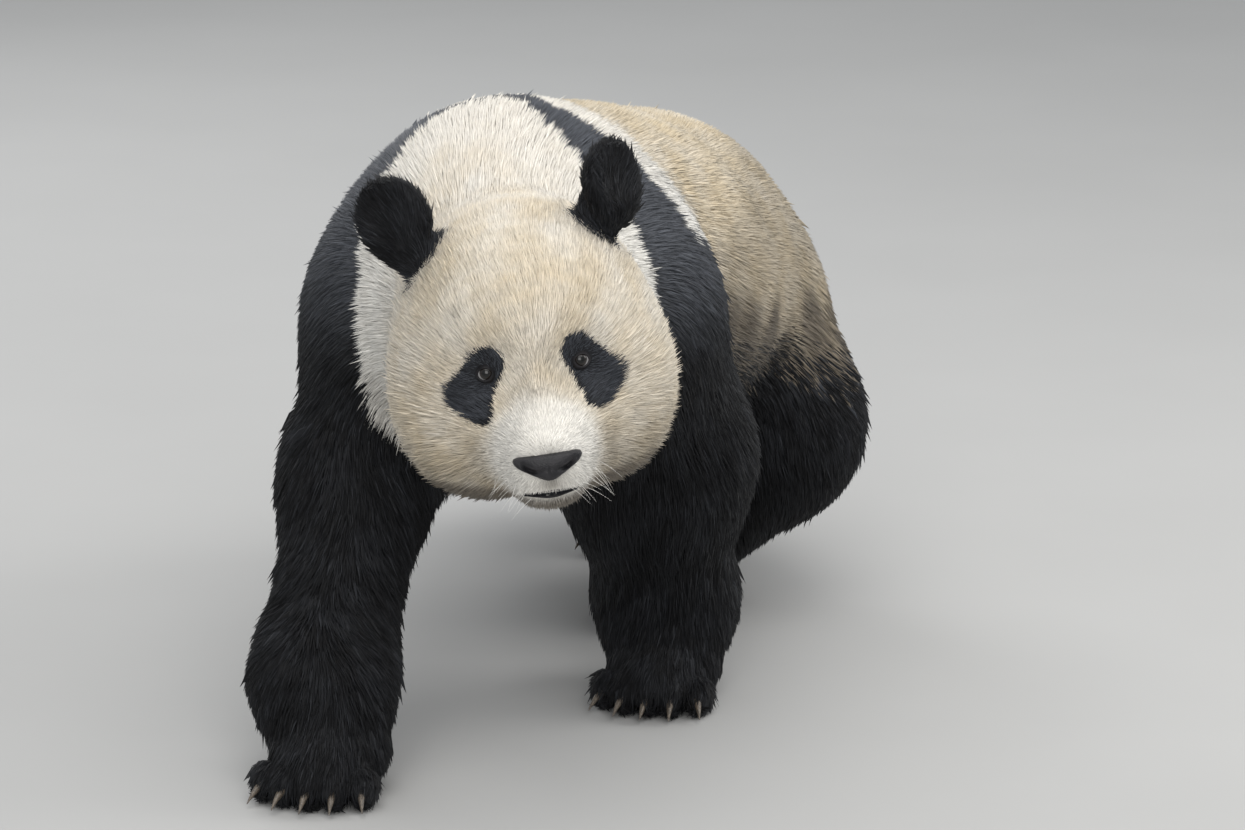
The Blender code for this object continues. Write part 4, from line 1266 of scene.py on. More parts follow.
@dataclass
class Skin:
    """One skin over the whole body, finer on the face."""

    animal: Animal
    step: float = 0.006
    low: Triple = (-0.36, -0.72, -0.03)
    high: Triple = (0.36, 1.06, 0.78)
    groove: tuple[float, float] = (0.0016, 0.0035)  # the mouth's, half-width and depth

    def field(self, points: np.ndarray) -> np.ndarray:
        """The coat's surface moved in by its depth, level on the floor, with a groove for the mouth."""
        rows = self.animal.parts(points)
        inner = self.animal.united(rows) + self.animal.depth(points, self.animal.shares(rows))
        local = HEAD.to_local(points)
        groove = self.groove[0] - FACE.mouth_distance(local)
        front = smooth(local[:, 1], -0.10, -0.13)
        inner = inner + self.groove[1] * front * smooth(groove, -0.0022, 0.0012)
        return np.maximum(inner, FLOOR_GAP - points[:, 2])

    def make(self, stage: Stage, finishes: Finishes) -> bpy.types.Object:
        """Draws the skin, makes its face finer and stores the markings.

        Args:
            stage: puts pieces into the row's frame.
            finishes: the materials.

        Returns:
            The skin.
        """
        points, quads = SurfaceNet(self.field, self.low, self.high, self.step).drawn()
        points = on_surface(self.field, points)
        stage_free = Stage((0.0, 0.0, 0.0))
        obj = stage_free.piece("skin", points, [quads], finishes.skin, "white_fur")
        self.refine_face(obj.data)
        points = on_surface(self.field, vertex_points(obj.data), 1)
        rows = self.animal.parts(points)
        share = self.animal.shares(rows)
        mesh = obj.data
        write_colours(mesh, "marking", Markings().colours(points, share, np.full(len(points), 0.5)))
        # painted shade: the skin is darkened like a tuft's root, with a low tone, as in the shade under the coat
        strand = np.tile([0.25, 0.15, 0.0, 1.0], (len(points), 1))
        write_colours(mesh, "strand", strand)
        mesh.vertices.foreach_set("co", (points + np.array(stage.shift)).astype(np.float32).ravel())
        mesh.update()
        return obj

    def refine_face(self, mesh: bpy.types.Mesh) -> None:
        """Cuts each edge on the front of the muzzle and round the eyes into three."""
        work = bmesh.new()
        work.from_mesh(mesh)
        local = HEAD.to_local(np.array([vertex.co for vertex in work.verts]))
        fine = (local[:, 1] < -0.07) & (np.abs(local[:, 0]) < 0.085) & (np.abs(local[:, 2] + 0.02) < 0.10)
        work.verts.ensure_lookup_table()
        edges = [edge for edge in work.edges if fine[edge.verts[0].index] and fine[edge.verts[1].index]]
        bmesh.ops.subdivide_edges(work, edges=edges, cuts=2, use_grid_fill=True)
        work.to_mesh(mesh)
        work.free()
        mesh.shade_smooth()
        mesh.update()


def vertex_points(mesh: bpy.types.Mesh) -> np.ndarray:
    """The places of a mesh's vertices."""
    flat = np.empty(len(mesh.vertices) * 3, np.float32)
    mesh.vertices.foreach_get("co", flat)
    return flat.reshape(-1, 3).astype(float)


def triangle_corners(mesh: bpy.types.Mesh) -> np.ndarray:
    """The vertex numbers of a mesh's triangles."""
    mesh.calc_loop_triangles()
    flat = np.empty(len(mesh.loop_triangles) * 3, np.int32)
    mesh.loop_triangles.foreach_get("vertices", flat)
    return flat.reshape(-1, 3)


@dataclass(frozen=True)
class CoatPiece:
    """A stretch of the coat that is one mesh: the parts it covers and the axis that it unwraps round."""

    name: str
    parts: tuple[Part, ...]
    start: Triple
    end: Triple
    radius: float
    slot: str
    pieces: int = 1  # cut into this many along the axis, to stay under the limit

    def unwrapped(self, points: np.ndarray) -> np.ndarray:
        """Unrolls places on the skin: the turn round the axis, and the angle from its end to its start.

        Args:
            points: places in the body's axes.

        Returns:
            Two numbers for each point, from 0 to 1.
        """
        start, end = np.array(self.start), np.array(self.end)
        middle, axis = (start + end) / 2.0, (end - start) / 2.0
        half = np.linalg.norm(axis)
        axis = axis / half
        side = np.cross(axis, [0.0, 0.0, 1.0] if abs(axis[2]) < 0.8 else [0.0, 1.0, 0.0])
        side = side / np.linalg.norm(side)
        other = np.cross(axis, side)
        offset = points - middle
        u, v = offset @ side, offset @ other
        turn = np.arctan2(v, u) / (2.0 * math.pi) + 0.5
        tilt = np.arctan2(np.hypot(u, v) / self.radius, (offset @ axis) / half) / math.pi
        return np.clip(np.stack([turn, tilt], -1), 0.0, 1.0) * 0.98 + 0.01


def coat_pieces() -> list[CoatPiece]:
    """Every stretch of the coat."""
    crown, chin = HEAD.place((0.0, 0.02, 0.13)), HEAD.place((0.0, 0.02, -0.12))
    back_of_head = HEAD.place(BACK_OF_HEAD)
    made = [
        CoatPiece("coat_head", (Part.HEAD,), crown, chin, 0.13, "white_fur", 3),
        CoatPiece("coat_neck", (Part.NECK,), back_of_head, (0.02, 0.05, 0.50), 0.16, "white_fur"),
        CoatPiece("coat_trunk", (Part.TRUNK,), (0.03, -0.1, 0.42), (0.03, 0.78, 0.4), 0.20, "white_fur", 3),
        CoatPiece("coat_tail", (Part.TAIL,), (0.03, 0.80, 0.50), (0.03, 0.80, 0.38), 0.03, "white_fur"),
    ]
    for side, part in ((Side.RIGHT, Part.EAR_RIGHT), (Side.LEFT, Part.EAR_LEFT)):
        root = HEAD.place(FACE.mirrored((0.10, 0.045, 0.105), side))
        rim = HEAD.place(FACE.mirrored((0.13, 0.045, 0.19), side))
        made.append(CoatPiece("coat_" + part.name.lower(), (part,), root, rim, 0.03, "black_fur"))
    paws = dict(zip(SIZES.legs(), SIZES.paws()))
    for part, joints in SIZES.legs().items():
        name = "coat_" + part.name.lower()
        made.append(CoatPiece(name, (part, paws[part]), joints[0][:3], joints[-1][:3], 0.08, "black_fur"))
    return made


@dataclass
class Fur:
    """Tufts over the skin: each a closed blade of four triangles that rises and then bends flat."""

    animal: Animal
    skin: bpy.types.Object
    stage: Stage
    finish: bpy.types.Material
    patch: float = 0.003  # size of a tuft on the unwrap
    total: int = 372000  # tufts in the whole coat
    limit: int = 48000  # tufts in a piece
    sunk: float = 0.0008  # from the skin down to a root
    bend: float = 0.42  # share of the length below the bend
    flare: float = 0.45  # how far the shading turns out at a blade's sides
    girth: tuple[float, float] = (0.0004, 0.021)  # a blade's least width, and what its length adds
    clumps: tuple[float, float] = (0.010, 0.005)  # how wide tufts draw together, on the body and the head
    border: float = 0.75  # how far along the blade the markings follow their place

    def __post_init__(self) -> None:
        """Reads the skin's triangles and the values that the roots take from its vertices."""
        self.random = np.random.default_rng(SEED)
        mesh = self.skin.data
        self.places = vertex_points(mesh) - np.array(self.stage.shift)
        self.corners = triangle_corners(mesh)
        self.share = self.animal.shares(self.animal.parts(self.places))
        self.normals = unit(slope(self.animal.surface, self.places))
        self.lie = laid(self.animal.lie(self.places, self.share), self.normals)
        self.depth = self.animal.depth(self.places, self.share)
        self.length = self.animal.length(self.places, self.share)

    def roots(self) -> tuple[np.ndarray, np.ndarray]:
        """Scatters roots: even shares of the density summed over the triangles, each moved a little.

        Returns:
            The triangle of each root, and its weights on that triangle's corners.
        """
        one, two, three = (self.places[self.corners[:, i]] for i in range(3))
        area = np.linalg.norm(np.cross(two - one, three - one), axis=1) / 2.0
        density = coat_values("per_area") @ self.share
        wanted = area * density[self.corners].mean(1)
        ends = np.cumsum(wanted)
        log.info("coat: %d tufts wanted, %d grown", ends[-1], min(ends[-1], self.total))
        count = min(int(ends[-1]), self.total)
        picks = (np.arange(count) + self.random.random(count)) / count * ends[-1]
        triangle = np.minimum(np.searchsorted(ends, picks), len(ends) - 1)
        a, b = self.random.random((2, count))
        folded = a + b > 1.0
        a, b = np.where(folded, 1.0 - a, a), np.where(folded, 1.0 - b, b)
        return triangle, np.stack([1.0 - a - b, a, b], -1)

    def taken(self, values: np.ndarray, triangle: np.ndarray, weights: np.ndarray) -> np.ndarray:
        """A vertex value at each root.

        Args:
            values: a number or a row of numbers for each vertex.
            triangle: the triangle of each root.
            weights: each root's weights on that triangle's corners.

        Returns:
            A number or a row of numbers for each root.
        """
        corners = values[self.corners[triangle]]
        if corners.ndim == 2:
            return (corners * weights).sum(1)
        return (corners * weights[..., None]).sum(1)

    def drawn_together(
        self, roots: np.ndarray, tips: np.ndarray, size: float, pull: np.ndarray
    ) -> np.ndarray:
        """Draws tips towards the mean tip of their clump, which is a cell of a warped grid.

        Args:
            roots: the tufts' roots, which say what clump each is in.
            tips: the tufts' tips.
            size: the grid's cell.
            pull: the share of the way that each tip moves.

        Returns:
            The moved tips.
        """
        warp = np.stack([ripple(roots, size * 3.5, Pattern.CLUMPS + axis) for axis in range(3)], -1)
        cell = np.floor((roots + warp * size * 0.8) / size).astype(np.int64)
        _, clump = np.unique(cell @ np.array([1, 4001, 16008001]), return_inverse=True)
        number = np.bincount(clump)
        means = np.stack([np.bincount(clump, tips[:, axis]) / number for axis in range(3)], -1)
        return tips + (means[clump] - tips) * pull[:, None]

    def grown(self) -> dict[str, np.ndarray]:
        """Works out every tuft.

        Returns:
            Arrays of one row for each tuft: its four points with their normals and markings, its part, its
            shade and its root.
        """
        triangle, weights = self.roots()
        roots = self.taken(self.places, triangle, weights)
        share = self.animal.shares(self.animal.parts(roots))
        kept = ~self.animal.bare(roots)
        triangle, weights, roots, share = triangle[kept], weights[kept], roots[kept], share[:, kept]
        count = len(roots)
        random = self.random
        on_head = share[Part.HEAD]
        on_ears = share[Part.EAR_LEFT] + share[Part.EAR_RIGHT]
        on_back = share[Part.TRUNK] + share[Part.NECK]
        on_legs = 1.0 - on_head - on_ears - on_back
        normal = unit(self.taken(self.normals, triangle, weights))
        flow = self.taken(self.lie, triangle, weights)
        unruly = (0.07 + 0.05 * on_legs + 0.04 * on_head)[:, None]
        flow = unit(flow + random.normal(0.0, 1.0, (count, 3)) * unruly)
        flow = laid(flow, normal)
        beside = np.cross(normal, flow)
        depth = self.taken(self.depth, triangle, weights)
        length = self.taken(self.length, triangle, weights)
        rise = np.arcsin(np.clip(depth / length, 0.1, 0.8))
        rise = rise * (1.0 + 0.12 * random.normal(size=count)) + 0.030 * ripple(roots, 0.035, Pattern.RISE)
        length = length * np.clip(1.0 + 0.16 * random.normal(size=count), 0.5, 1.5)
        stray = self.strays(roots, share, random.random(count))
        length = length * (1.0 + 0.35 * stray)
        first, second = np.clip(rise * 1.35, 0.03, 1.3)[:, None], np.clip(rise * 0.60, 0.0, 1.0)[:, None]
        long = length[:, None]
        roots = roots - normal * self.sunk
        middle = roots + long * self.bend * (flow * np.cos(first) + normal * np.sin(first))
        tips = middle + long * (1.0 - self.bend) * (flow * np.cos(second) + normal * np.sin(second))
        pull = 0.05 * on_back + 0.30 * on_legs + 0.15 * on_ears
        tips = self.drawn_together(roots, tips, self.clumps[0], pull)
        tips = self.drawn_together(roots, tips, self.clumps[1], 0.15 * on_head)
        allowed = 0.0010 + 0.0025 * random.random(count) ** 2 * (1.0 - on_back) + 0.006 * stray
        over = self.animal.surface(tips)
        tips = tips - normal * np.maximum(over - allowed, 0.0)[:, None]
        width = (self.girth[0] + self.girth[1] * length)[:, None] * random.uniform(0.75, 1.25, (count, 1))
        points = np.stack([roots, middle - beside * width * 0.5, middle + beside * width * 0.5, tips], 1)
        points[..., 2] = np.maximum(points[..., 2], FLOOR_GAP)
        chance = random.random(count)
        places = [roots + self.border * (place - roots) for place in (roots, middle, tips)]
        marked = [Markings().colours(place, share, chance) for place in places]
        marking = np.stack([marked[place] for place in (0, 1, 1, 2)], 1)
        tilt = random.normal(0.0, 1.0, (count, 3)) * (0.17 + 0.10 * on_head)[:, None]
        facing_ = unit(normal + tilt)
        turned = [0.0 * beside, -self.flare * beside, self.flare * beside, 0.25 * flow]
        normals = facing_[:, None] + np.stack(turned, 1)
        return {
            "points": points,
            "normals": normals,
            "part": share.argmax(0),
            "marking": marking,
            "shade": self.tones(roots, share, marking[:, 1, 0], random.random(count)),
            "root": roots,
        }

    def strays(self, roots: np.ndarray, share: np.ndarray, chance: np.ndarray) -> np.ndarray:
        """How far each tuft sticks out: none of most, a few on the cheeks, ears and legs, most on the jaw.

        Args:
            roots: the tufts' roots.
            share: what belongs to which part.
            chance: a number from 0 to 1 for each tuft.

        Returns:
            0 for a tuft that lies in the coat, up to 1 for one that sticks out.
        """
        local = HEAD.to_local(roots)
        cheek = share[Part.HEAD] * smooth(np.abs(local[:, 0]), 0.06, 0.10) * smooth(local[:, 2], 0.06, 0.0)
        jaw = share[Part.HEAD] * smooth(local[:, 2], -0.07, -0.11)
        rest = 1.0 - share[Part.HEAD] - share[Part.TRUNK]
        ears = share[Part.EAR_LEFT] + share[Part.EAR_RIGHT]
        wanted = 0.006 + 0.10 * cheek + 0.20 * jaw + 0.04 * rest + 0.10 * ears
        return np.where(chance < wanted, 1.0 - chance / wanted * 0.7, 0.0)

    def tones(
        self, roots: np.ndarray, share: np.ndarray, dark: np.ndarray, chance: np.ndarray
    ) -> np.ndarray:
        """Each tuft's tone: pale hair varies about the middle, least on the back, and black hair is mostly dark with a
        few grey hairs, and is lighter over the shoulders and in the eye patches as a painted sheen of light from above.

        Args:
            roots: the tufts' roots.
            share: what belongs to which part.
            dark: how black each tuft is.
            chance: a number from 0 to 1 for each tuft.

        Returns:
            One tone for each tuft, from 0 to 1.
        """
        spread = 0.45 + 0.35 * share[Part.HEAD]
        pale = 0.5 + spread * (chance - 0.5) + 0.16 * ripple(roots, 0.020, Pattern.PALE_TONE)
        patch = smooth(Markings().eye_patch(HEAD.to_local(roots)), 0.004, -0.002)
        ears = share[Part.EAR_LEFT] + share[Part.EAR_RIGHT]
        upper = smooth(roots[:, 2], 0.44, 0.58) * (1.0 - share[Part.HEAD]) * (1.0 - ears)
        # painted sheen: black tufts high on the body and in the eye patches are lighter, as lit from above
        black = 0.02 + 0.22 * chance**4 + (0.90 * upper + 0.48 * patch) * (0.6 + 0.8 * chance)
        black += 0.06 * ripple(roots, 0.05, Pattern.BLACK_TONE)
        return np.clip(np.where(dark > 0.5, black, pale), 0.0, 1.0)

    def make(self) -> list[bpy.types.Object]:
        """Grows the coat and cuts it into pieces under the limit."""
        tufts = self.grown()
        made = []
        for stretch in coat_pieces():
            mine = np.flatnonzero(np.isin(tufts["part"], [int(part) for part in stretch.parts]))
            order = mine[np.argsort(stretch.unwrapped(tufts["root"][mine])[:, 1], kind="stable")]
            number = max(stretch.pieces, math.ceil(len(order) / self.limit))
            for index, some in enumerate(np.array_split(order, number)):
                name = stretch.name if number == 1 else f"{stretch.name}_{index + 1}"
                picked = {key: value[some] for key, value in tufts.items()}
                made.append(self.one_piece(name, stretch, picked))
        return made

    def one_piece(self, name: str, stretch: CoatPiece, tufts: dict[str, np.ndarray]) -> bpy.types.Object:
        """One mesh of tufts, with its markings and its unwrap."""
        count = len(tufts["root"])
        blade = np.array([[0, 1, 2], [1, 3, 2], [0, 3, 1], [0, 2, 3]])
        faces = (blade + 4 * np.arange(count)[:, None, None]).reshape(-1, 3)
        obj = self.stage.piece(name, tufts["points"].reshape(-1, 3), [faces], self.finish, stretch.slot)
        write_colours(obj.data, "marking", tufts["marking"].reshape(-1, 4))
        # painted shade: 0 at a tuft's root, where it is darkest, to 1 at its tip
        along = np.tile([0.0, 0.55, 0.55, 1.0], count)
        shade = np.repeat(tufts["shade"], 4)
        strand = np.stack([along, shade, np.zeros(4 * count), np.ones(4 * count)], -1)
        write_colours(obj.data, "strand", strand)
        shape = np.array([[0.0, -0.5], [-0.5, -0.05], [0.5, 0.05], [0.0, 0.5]]) * self.patch
        unwrap = (stretch.unwrapped(tufts["root"])[:, None, :] + shape).reshape(-1, 2)
        normals = unit(tufts["normals"].reshape(-1, 3)).astype(np.float32)
        obj.data.normals_split_custom_set_from_vertices(normals)
        layer = obj.data.uv_layers.new(name="OFBake")
        layer.uv.foreach_set("vector", unwrap[faces.ravel()].astype(np.float32).ravel())
        log.info("%s: %d triangles", name, len(faces))
        return obj


# ---------------------------------------------------------------------------------------------------------
# Eyes, lids, nose, mouth, whiskers and claws


def facing(look: np.ndarray) -> np.ndarray:
    """Three axes as columns: across, up and out along a look direction in the head's frame."""
    out = look / np.linalg.norm(look)
    across = np.cross([0.0, 0.0, 1.0], out)
    across /= np.linalg.norm(across)
    return np.stack([across, np.cross(out, across), out], -1)


@dataclass
class Eye:
    """An eyeball with a raised cornea, and two lids round it."""

    side: Side
    radius: float = 0.0112
    set_back: float = 0.0005  # from the socket's middle to the ball's
    cornea: float = 0.0009  # how far it stands out
    cornea_angle: float = 0.55  # radians from the pole to its edge
    lid_thickness: float = 0.0009
    lid_rim: float = 0.00035  # how far the rim stands out
    lid_crease: float = 0.0006  # the depth of the upper lid's
    lid_back: float = 0.0016  # from the ball's surface in to the lids' underside
    lid_rows: tuple[int, int] = (14, 5)  # rings over the outside and back underneath
    lid_reach: float = 88.0  # degrees from the rim's pole to the lids' outer edge
    slant: float = 14.0  # degrees that the opening's outer corner is turned down
    opening: tuple[float, float] = (0.0082, 0.0072)  # half-width and half-height between the lids
    closed_to: tuple[float, float] = (0.92, 0.86)  # share of that height left below and above
    opening_up: float = 0.0004  # how far the opening's middle lies over the ball's
    gaze: Triple = (0.10, -0.93, 0.30)  # which way the iris looks, further in and up than the lids
    rings: int = 28
    sides: int = 48

    def axes(self) -> np.ndarray:
        """The eye's own axes in the head's."""
        return facing(FACE.mirrored(FACE.eye_look, self.side))

    def centre(self) -> np.ndarray:
        """The ball's middle in the head's axes."""
        return FACE.mirrored(FACE.eye, self.side) - self.set_back * self.axes()[:, 2]

    def ball(self) -> tuple[np.ndarray, Faces, np.ndarray]:
        """The eyeball: a globe whose radius grows by the cornea's times exp(-(angle / cornea_angle)^4).

        Returns:
            Points, faces, and the polar values that the finish reads.
        """
        angle = np.linspace(0.0, math.pi, self.rings + 1)[1:-1]
        turn = 2.0 * math.pi * np.arange(self.sides) / self.sides
        radius = self.radius - self.cornea + self.cornea * np.exp(-((angle / self.cornea_angle) ** 4))
        ring = np.stack(
            [
                np.sin(angle)[:, None] * np.cos(turn),
                np.sin(angle)[:, None] * np.sin(turn),
                np.cos(angle)[:, None] * np.ones(self.sides),
            ],
            -1,
        )
        local = (ring * radius[:, None, None]).reshape(-1, 3)
        poles = np.array([[0.0, 0.0, self.radius], [0.0, 0.0, -radius[-1]]])
        local = np.concatenate([local, poles])
        share = np.append(np.repeat(angle, self.sides), [0.0, math.pi]) / (math.pi / 2.0)
        around = np.append(np.tile(turn, len(angle)), [0.0, 0.0])
        polar = np.stack([share, np.cos(around), np.sin(around), np.ones(len(share))], -1)
        axes = facing(FACE.mirrored(self.gaze, self.side))
        return HEAD.to_body(self.centre() + local @ axes.T), capped_faces(len(angle), self.sides), polar

    def lids(self) -> tuple[np.ndarray, Faces]:
        """Both lids as one ring: a thin shell on the eyeball with a pointed oval left open.

        The shell's section is a closed loop, from the rim over the outside to beyond the equator and back
        underneath. The upper lid has a crease, and the rim is rounded and a little raised.

        Returns:
            Points and faces.
        """
        turn = 2.0 * math.pi * np.arange(self.sides) / self.sides
        half_width, half_height = self.opening
        pointed = np.abs(np.sin(turn)) ** 0.25
        x, y = half_width * np.cos(turn), half_height * np.sin(turn) * pointed
        y = y * np.where(np.sin(turn) < 0, *self.closed_to) + self.opening_up
        rim = np.arcsin(np.clip(np.hypot(x, y) / self.radius, 0.0, 0.98))
        bearing = np.arctan2(y, x)
        outer = math.radians(self.lid_reach)
        over = np.linspace(0.0, 1.0, self.lid_rows[0]) ** 1.3
        back = np.linspace(1.0, 0.0, self.lid_rows[1])
        rise = smooth(over, -0.10, 0.10) * self.lid_thickness + self.lid_rim * bell(over - 0.05, 0.05)
        crease = self.lid_crease * bell(over - 0.30, 0.07)
        upper = np.clip(np.sin(turn), 0.0, 1.0)
        radius_over = self.radius + rise[:, None] - crease[:, None] * upper
        radius_back = np.full((len(back), self.sides), self.radius - self.lid_back)
        share = np.concatenate([over, back])[:, None]
        angle = rim + (outer - rim) * share
        radius = np.concatenate([radius_over, radius_back])
        local = np.stack(
            [
                radius * np.sin(angle) * np.cos(bearing),
                radius * np.sin(angle) * np.sin(bearing),
                radius * np.cos(angle),
            ],
            -1,
        )
        roll = math.radians(-self.slant * self.side.value)
        cos, sin = math.cos(roll), math.sin(roll)
        spin = np.array([[cos, -sin, 0], [sin, cos, 0], [0, 0, 1.0]])
        points = HEAD.to_body(self.centre() + local.reshape(-1, 3) @ spin.T @ self.axes().T)
        return points, [grid_faces(len(share), self.sides, True)[:, ::-1]]

    def make(self, stage: Stage, finishes: Finishes) -> list[bpy.types.Object]:
        """Builds the eyeball and its lids."""
        name = self.side.name.lower()
        points, faces, polar = self.ball()
        ball = stage.piece("eyeball_" + name, points, faces, finishes.eye, "eye")
        write_colours(ball.data, "polar", polar)
        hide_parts("eye_" + name)
        points, faces = self.lids()
        lids = stage.piece("eyelids_" + name, points, faces, finishes.lid, "black_fur")
        return [ball, lids]


@dataclass
class Nose:
    """The nose leather: a wide pad like a soft triangle, with two nostrils and a groove between them."""

    front: float = 0.0135
    lean: float = -14.0
    wrap: float = 5.0  # the pad curves back by this times x squared
    fullness: tuple[float, float] = (0.85, 0.55)  # powers of the section's sine and cosine
    nostril: tuple[float, float] = (0.0205, -0.0035)  # x and z of its middle
    nostril_turn: float = 0.50  # radians that it slants down and out
    nostril_bend: float = 30.0  # it bends like a comma by this times its length squared
    nostril_size: tuple[float, float, float] = (0.0085, 0.0027, 0.0110)  # half-length, half-width and depth
    groove: tuple[float, float] = (0.0011, 0.0011)  # half-width and depth
    rings: int = 40
    sides: int = 72

    def shape(self) -> tuple[np.ndarray, Faces]:
        """The pad: rings from the front's middle, out to the outline and round to the back.

        Returns:
            Points and faces.
        """
        angle = np.linspace(0.0, math.pi, self.rings + 1)[1:-1][:, None]
        turn = (2.0 * math.pi * np.arange(self.sides) / self.sides)[None, :]
        wide, deep = self.fullness
        reach = FACE.nose_reach(turn) * np.sin(angle) ** wide
        x = reach * np.cos(turn)
        z = reach * np.sin(turn)
        y = -self.front * np.sign(np.cos(angle)) * np.abs(np.cos(angle)) ** deep * np.ones_like(turn)
        in_front = (angle < math.pi / 2.0) * 1.0
        nostrils = np.zeros_like(x)
        cos, sin = math.cos(self.nostril_turn), math.sin(self.nostril_turn)
        length, width, depth = self.nostril_size
        for side in (-1, 1):
            out, up = x * side - self.nostril[0], z - self.nostril[1]
            along = out * cos + up * sin
            across = -out * sin + up * cos
            across = across - self.nostril_bend * along**2
            nostrils += np.exp(-((along / length) ** 2) - (across / width) ** 2)
        groove = self.groove[1] * bell(x, self.groove[0]) * smooth(z, 0.002, -0.006)
        y = y + in_front * (depth * nostrils + groove)
        y = y + self.wrap * x**2
        local = np.stack([x, y, z], -1).reshape(-1, 3)
        poles = np.array([[0.0, -self.front, 0.0], [0.0, self.front, 0.0]])
        local = np.concatenate([local, poles])
        lean = np.array(Matrix.Rotation(math.radians(self.lean), 3, "X"))
        return HEAD.to_body(np.array(FACE.nose) + local @ lean.T), capped_faces(len(angle), self.sides)

    def make(self, stage: Stage, finishes: Finishes) -> bpy.types.Object:
        """Builds the pad."""
        points, faces = self.shape()
        pad = stage.piece("nose_pad", points, faces, finishes.leather, "nose_leather")
        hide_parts("nose")
        return pad


@dataclass
class Mouth:
    """A thin dark lip above and below the mouth's line, thickest under the nose."""

    steps: int = 40
    sides: int = 10
    front: float = -0.178  # y of the line's middle, before it is laid on the skin
    wrap: float = 22.0  # the line curves back by this times x squared
    corner: float = 0.0002  # each lip's radius at the mouth's corners
    # How far each lip lies above the mouth's line, and its radius.
    lips: tuple[tuple[float, float], ...] = ((0.0009, 0.0010), (-0.0010, 0.0013))

    def make(self, stage: Stage, finishes: Finishes, skin: Skin) -> bpy.types.Object:
        """Lays two tubes along the mouth's line, just in the skin's groove."""
        across = np.linspace(-1.0, 1.0, self.steps) * FACE.mouth_half_width
        swell = np.sqrt(np.maximum(1.0 - (across / FACE.mouth_half_width) ** 2, 0.0))
        fall = FACE.mouth_height - FACE.mouth_droop * across**2
        paths, radii = [], []
        for offset, thick in self.lips:
            local = np.stack([across, self.front + self.wrap * across**2, fall + offset], -1)
            path = on_surface(skin.field, HEAD.to_body(local), 5)
            paths.append(path)
            radii.append(thick * swell + self.corner)
        points, faces = tubes(np.array(paths), np.array(radii), self.sides)
        return stage.piece("lips", points, faces, finishes.lid, "black_fur")


@dataclass
class Whiskers:
    """Stiff pale hairs on the sides of the muzzle and the chin: each a tapering curve that droops."""

    each_side: int = 14
    in_a_row: int = 5
    first_at: Triple = (0.020, -0.165, -0.078)  # the left side's foremost root
    next_out: float = 0.006  # from a root to the next in its row, sideways
    next_back: float = 0.012  # and along Y
    next_row: float = 0.009  # from a row down to the next
    scatter: float = 0.003
    way: Triple = (0.85, -0.10, -0.6)  # which way the left side's point
    unruly: float = 0.22
    reaches: tuple[float, float] = (0.016, 0.032)
    droop: float = 0.22  # how far a tip hangs, as a share of its whisker's length
    root_radius: float = 0.00025
    steps: int = 8
    sides: int = 5

    def make(self, stage: Stage, finishes: Finishes, skin: Skin) -> bpy.types.Object:
        """Sets the whiskers in rows and bends them out and down."""
        random = np.random.default_rng(Pattern.WHISKERS)
        starts, ways = [], []
        row, place = np.divmod(np.arange(self.each_side), self.in_a_row)
        x, y, z = self.first_at
        for side in Side:
            moved = random.uniform(-self.scatter, self.scatter, (3, self.each_side))
            across = side.value * (x + self.next_out * place + moved[0])
            down = z - self.next_row * row + moved[2]
            starts.append(np.stack([across, y + self.next_back * place + moved[1], down], -1))
            way = np.tile(FACE.mirrored(self.way, side), (self.each_side, 1))
            ways.append(way + random.normal(0.0, self.unruly, way.shape))
        roots = on_surface(skin.field, HEAD.to_body(np.concatenate(starts)), 5)
        ways = unit(HEAD.turned(np.concatenate(ways)))
        reach = random.uniform(*self.reaches, (len(roots), 1, 1))
        share = np.linspace(0.0, 1.0, self.steps)[None, :, None]
        paths = roots[:, None, :] + ways[:, None, :] * reach * share
        paths[..., 2] -= (reach * self.droop * share**2)[..., 0]
        radii = self.root_radius * (1.0 - 0.8 * share[..., 0]) * np.ones((len(roots), 1))
        points, faces = tubes(paths, radii, self.sides)
        return stage.piece("whiskers", points, faces, finishes.whisker, "white_fur")


@dataclass
class Claws:
    """The five claws of one paw, each a curved spike that grows out of its toe."""

    part: Part
    length: float = 0.034
    radius: float = 0.0048
    height: float = 0.022
    start: float = 0.010  # from the toe's middle forward to the claw's root
    droop: float = 0.016  # from the root down to the tip
    point: float = 0.00025  # radius of the tip
    steps: int = 12
    sides: int = 14

    def make(self, stage: Stage, finishes: Finishes) -> bpy.types.Object:
        """Builds the claws along the same curves as the solids' claws: forward, and down as the square."""
        share = np.linspace(0.0, 0.985, self.steps)  # the round end cap makes up the rest
        paths = []
        for x, y, turn in toes(*SIZES.paws()[self.part]):
            ahead, drop = self.length * share, self.droop * share**2
            forward = y - self.start - ahead * math.cos(turn)
            paths.append(np.stack([x + ahead * math.sin(turn), forward, self.height - drop], -1))
        radii = np.tile(self.radius * (1.0 - share**1.8) + self.point, (len(paths), 1))
        points, faces = tubes(np.array(paths), radii, self.sides)
        name = self.part.name.lower()
        claws = stage.piece("claws_" + name, points, faces, finishes.horn, "claw")
        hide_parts(*[f"claw_{name}_{number}" for number in range(1, 6)])
        return claws


# ---------------------------------------------------------------------------------------------------------
# Camera, floor and light


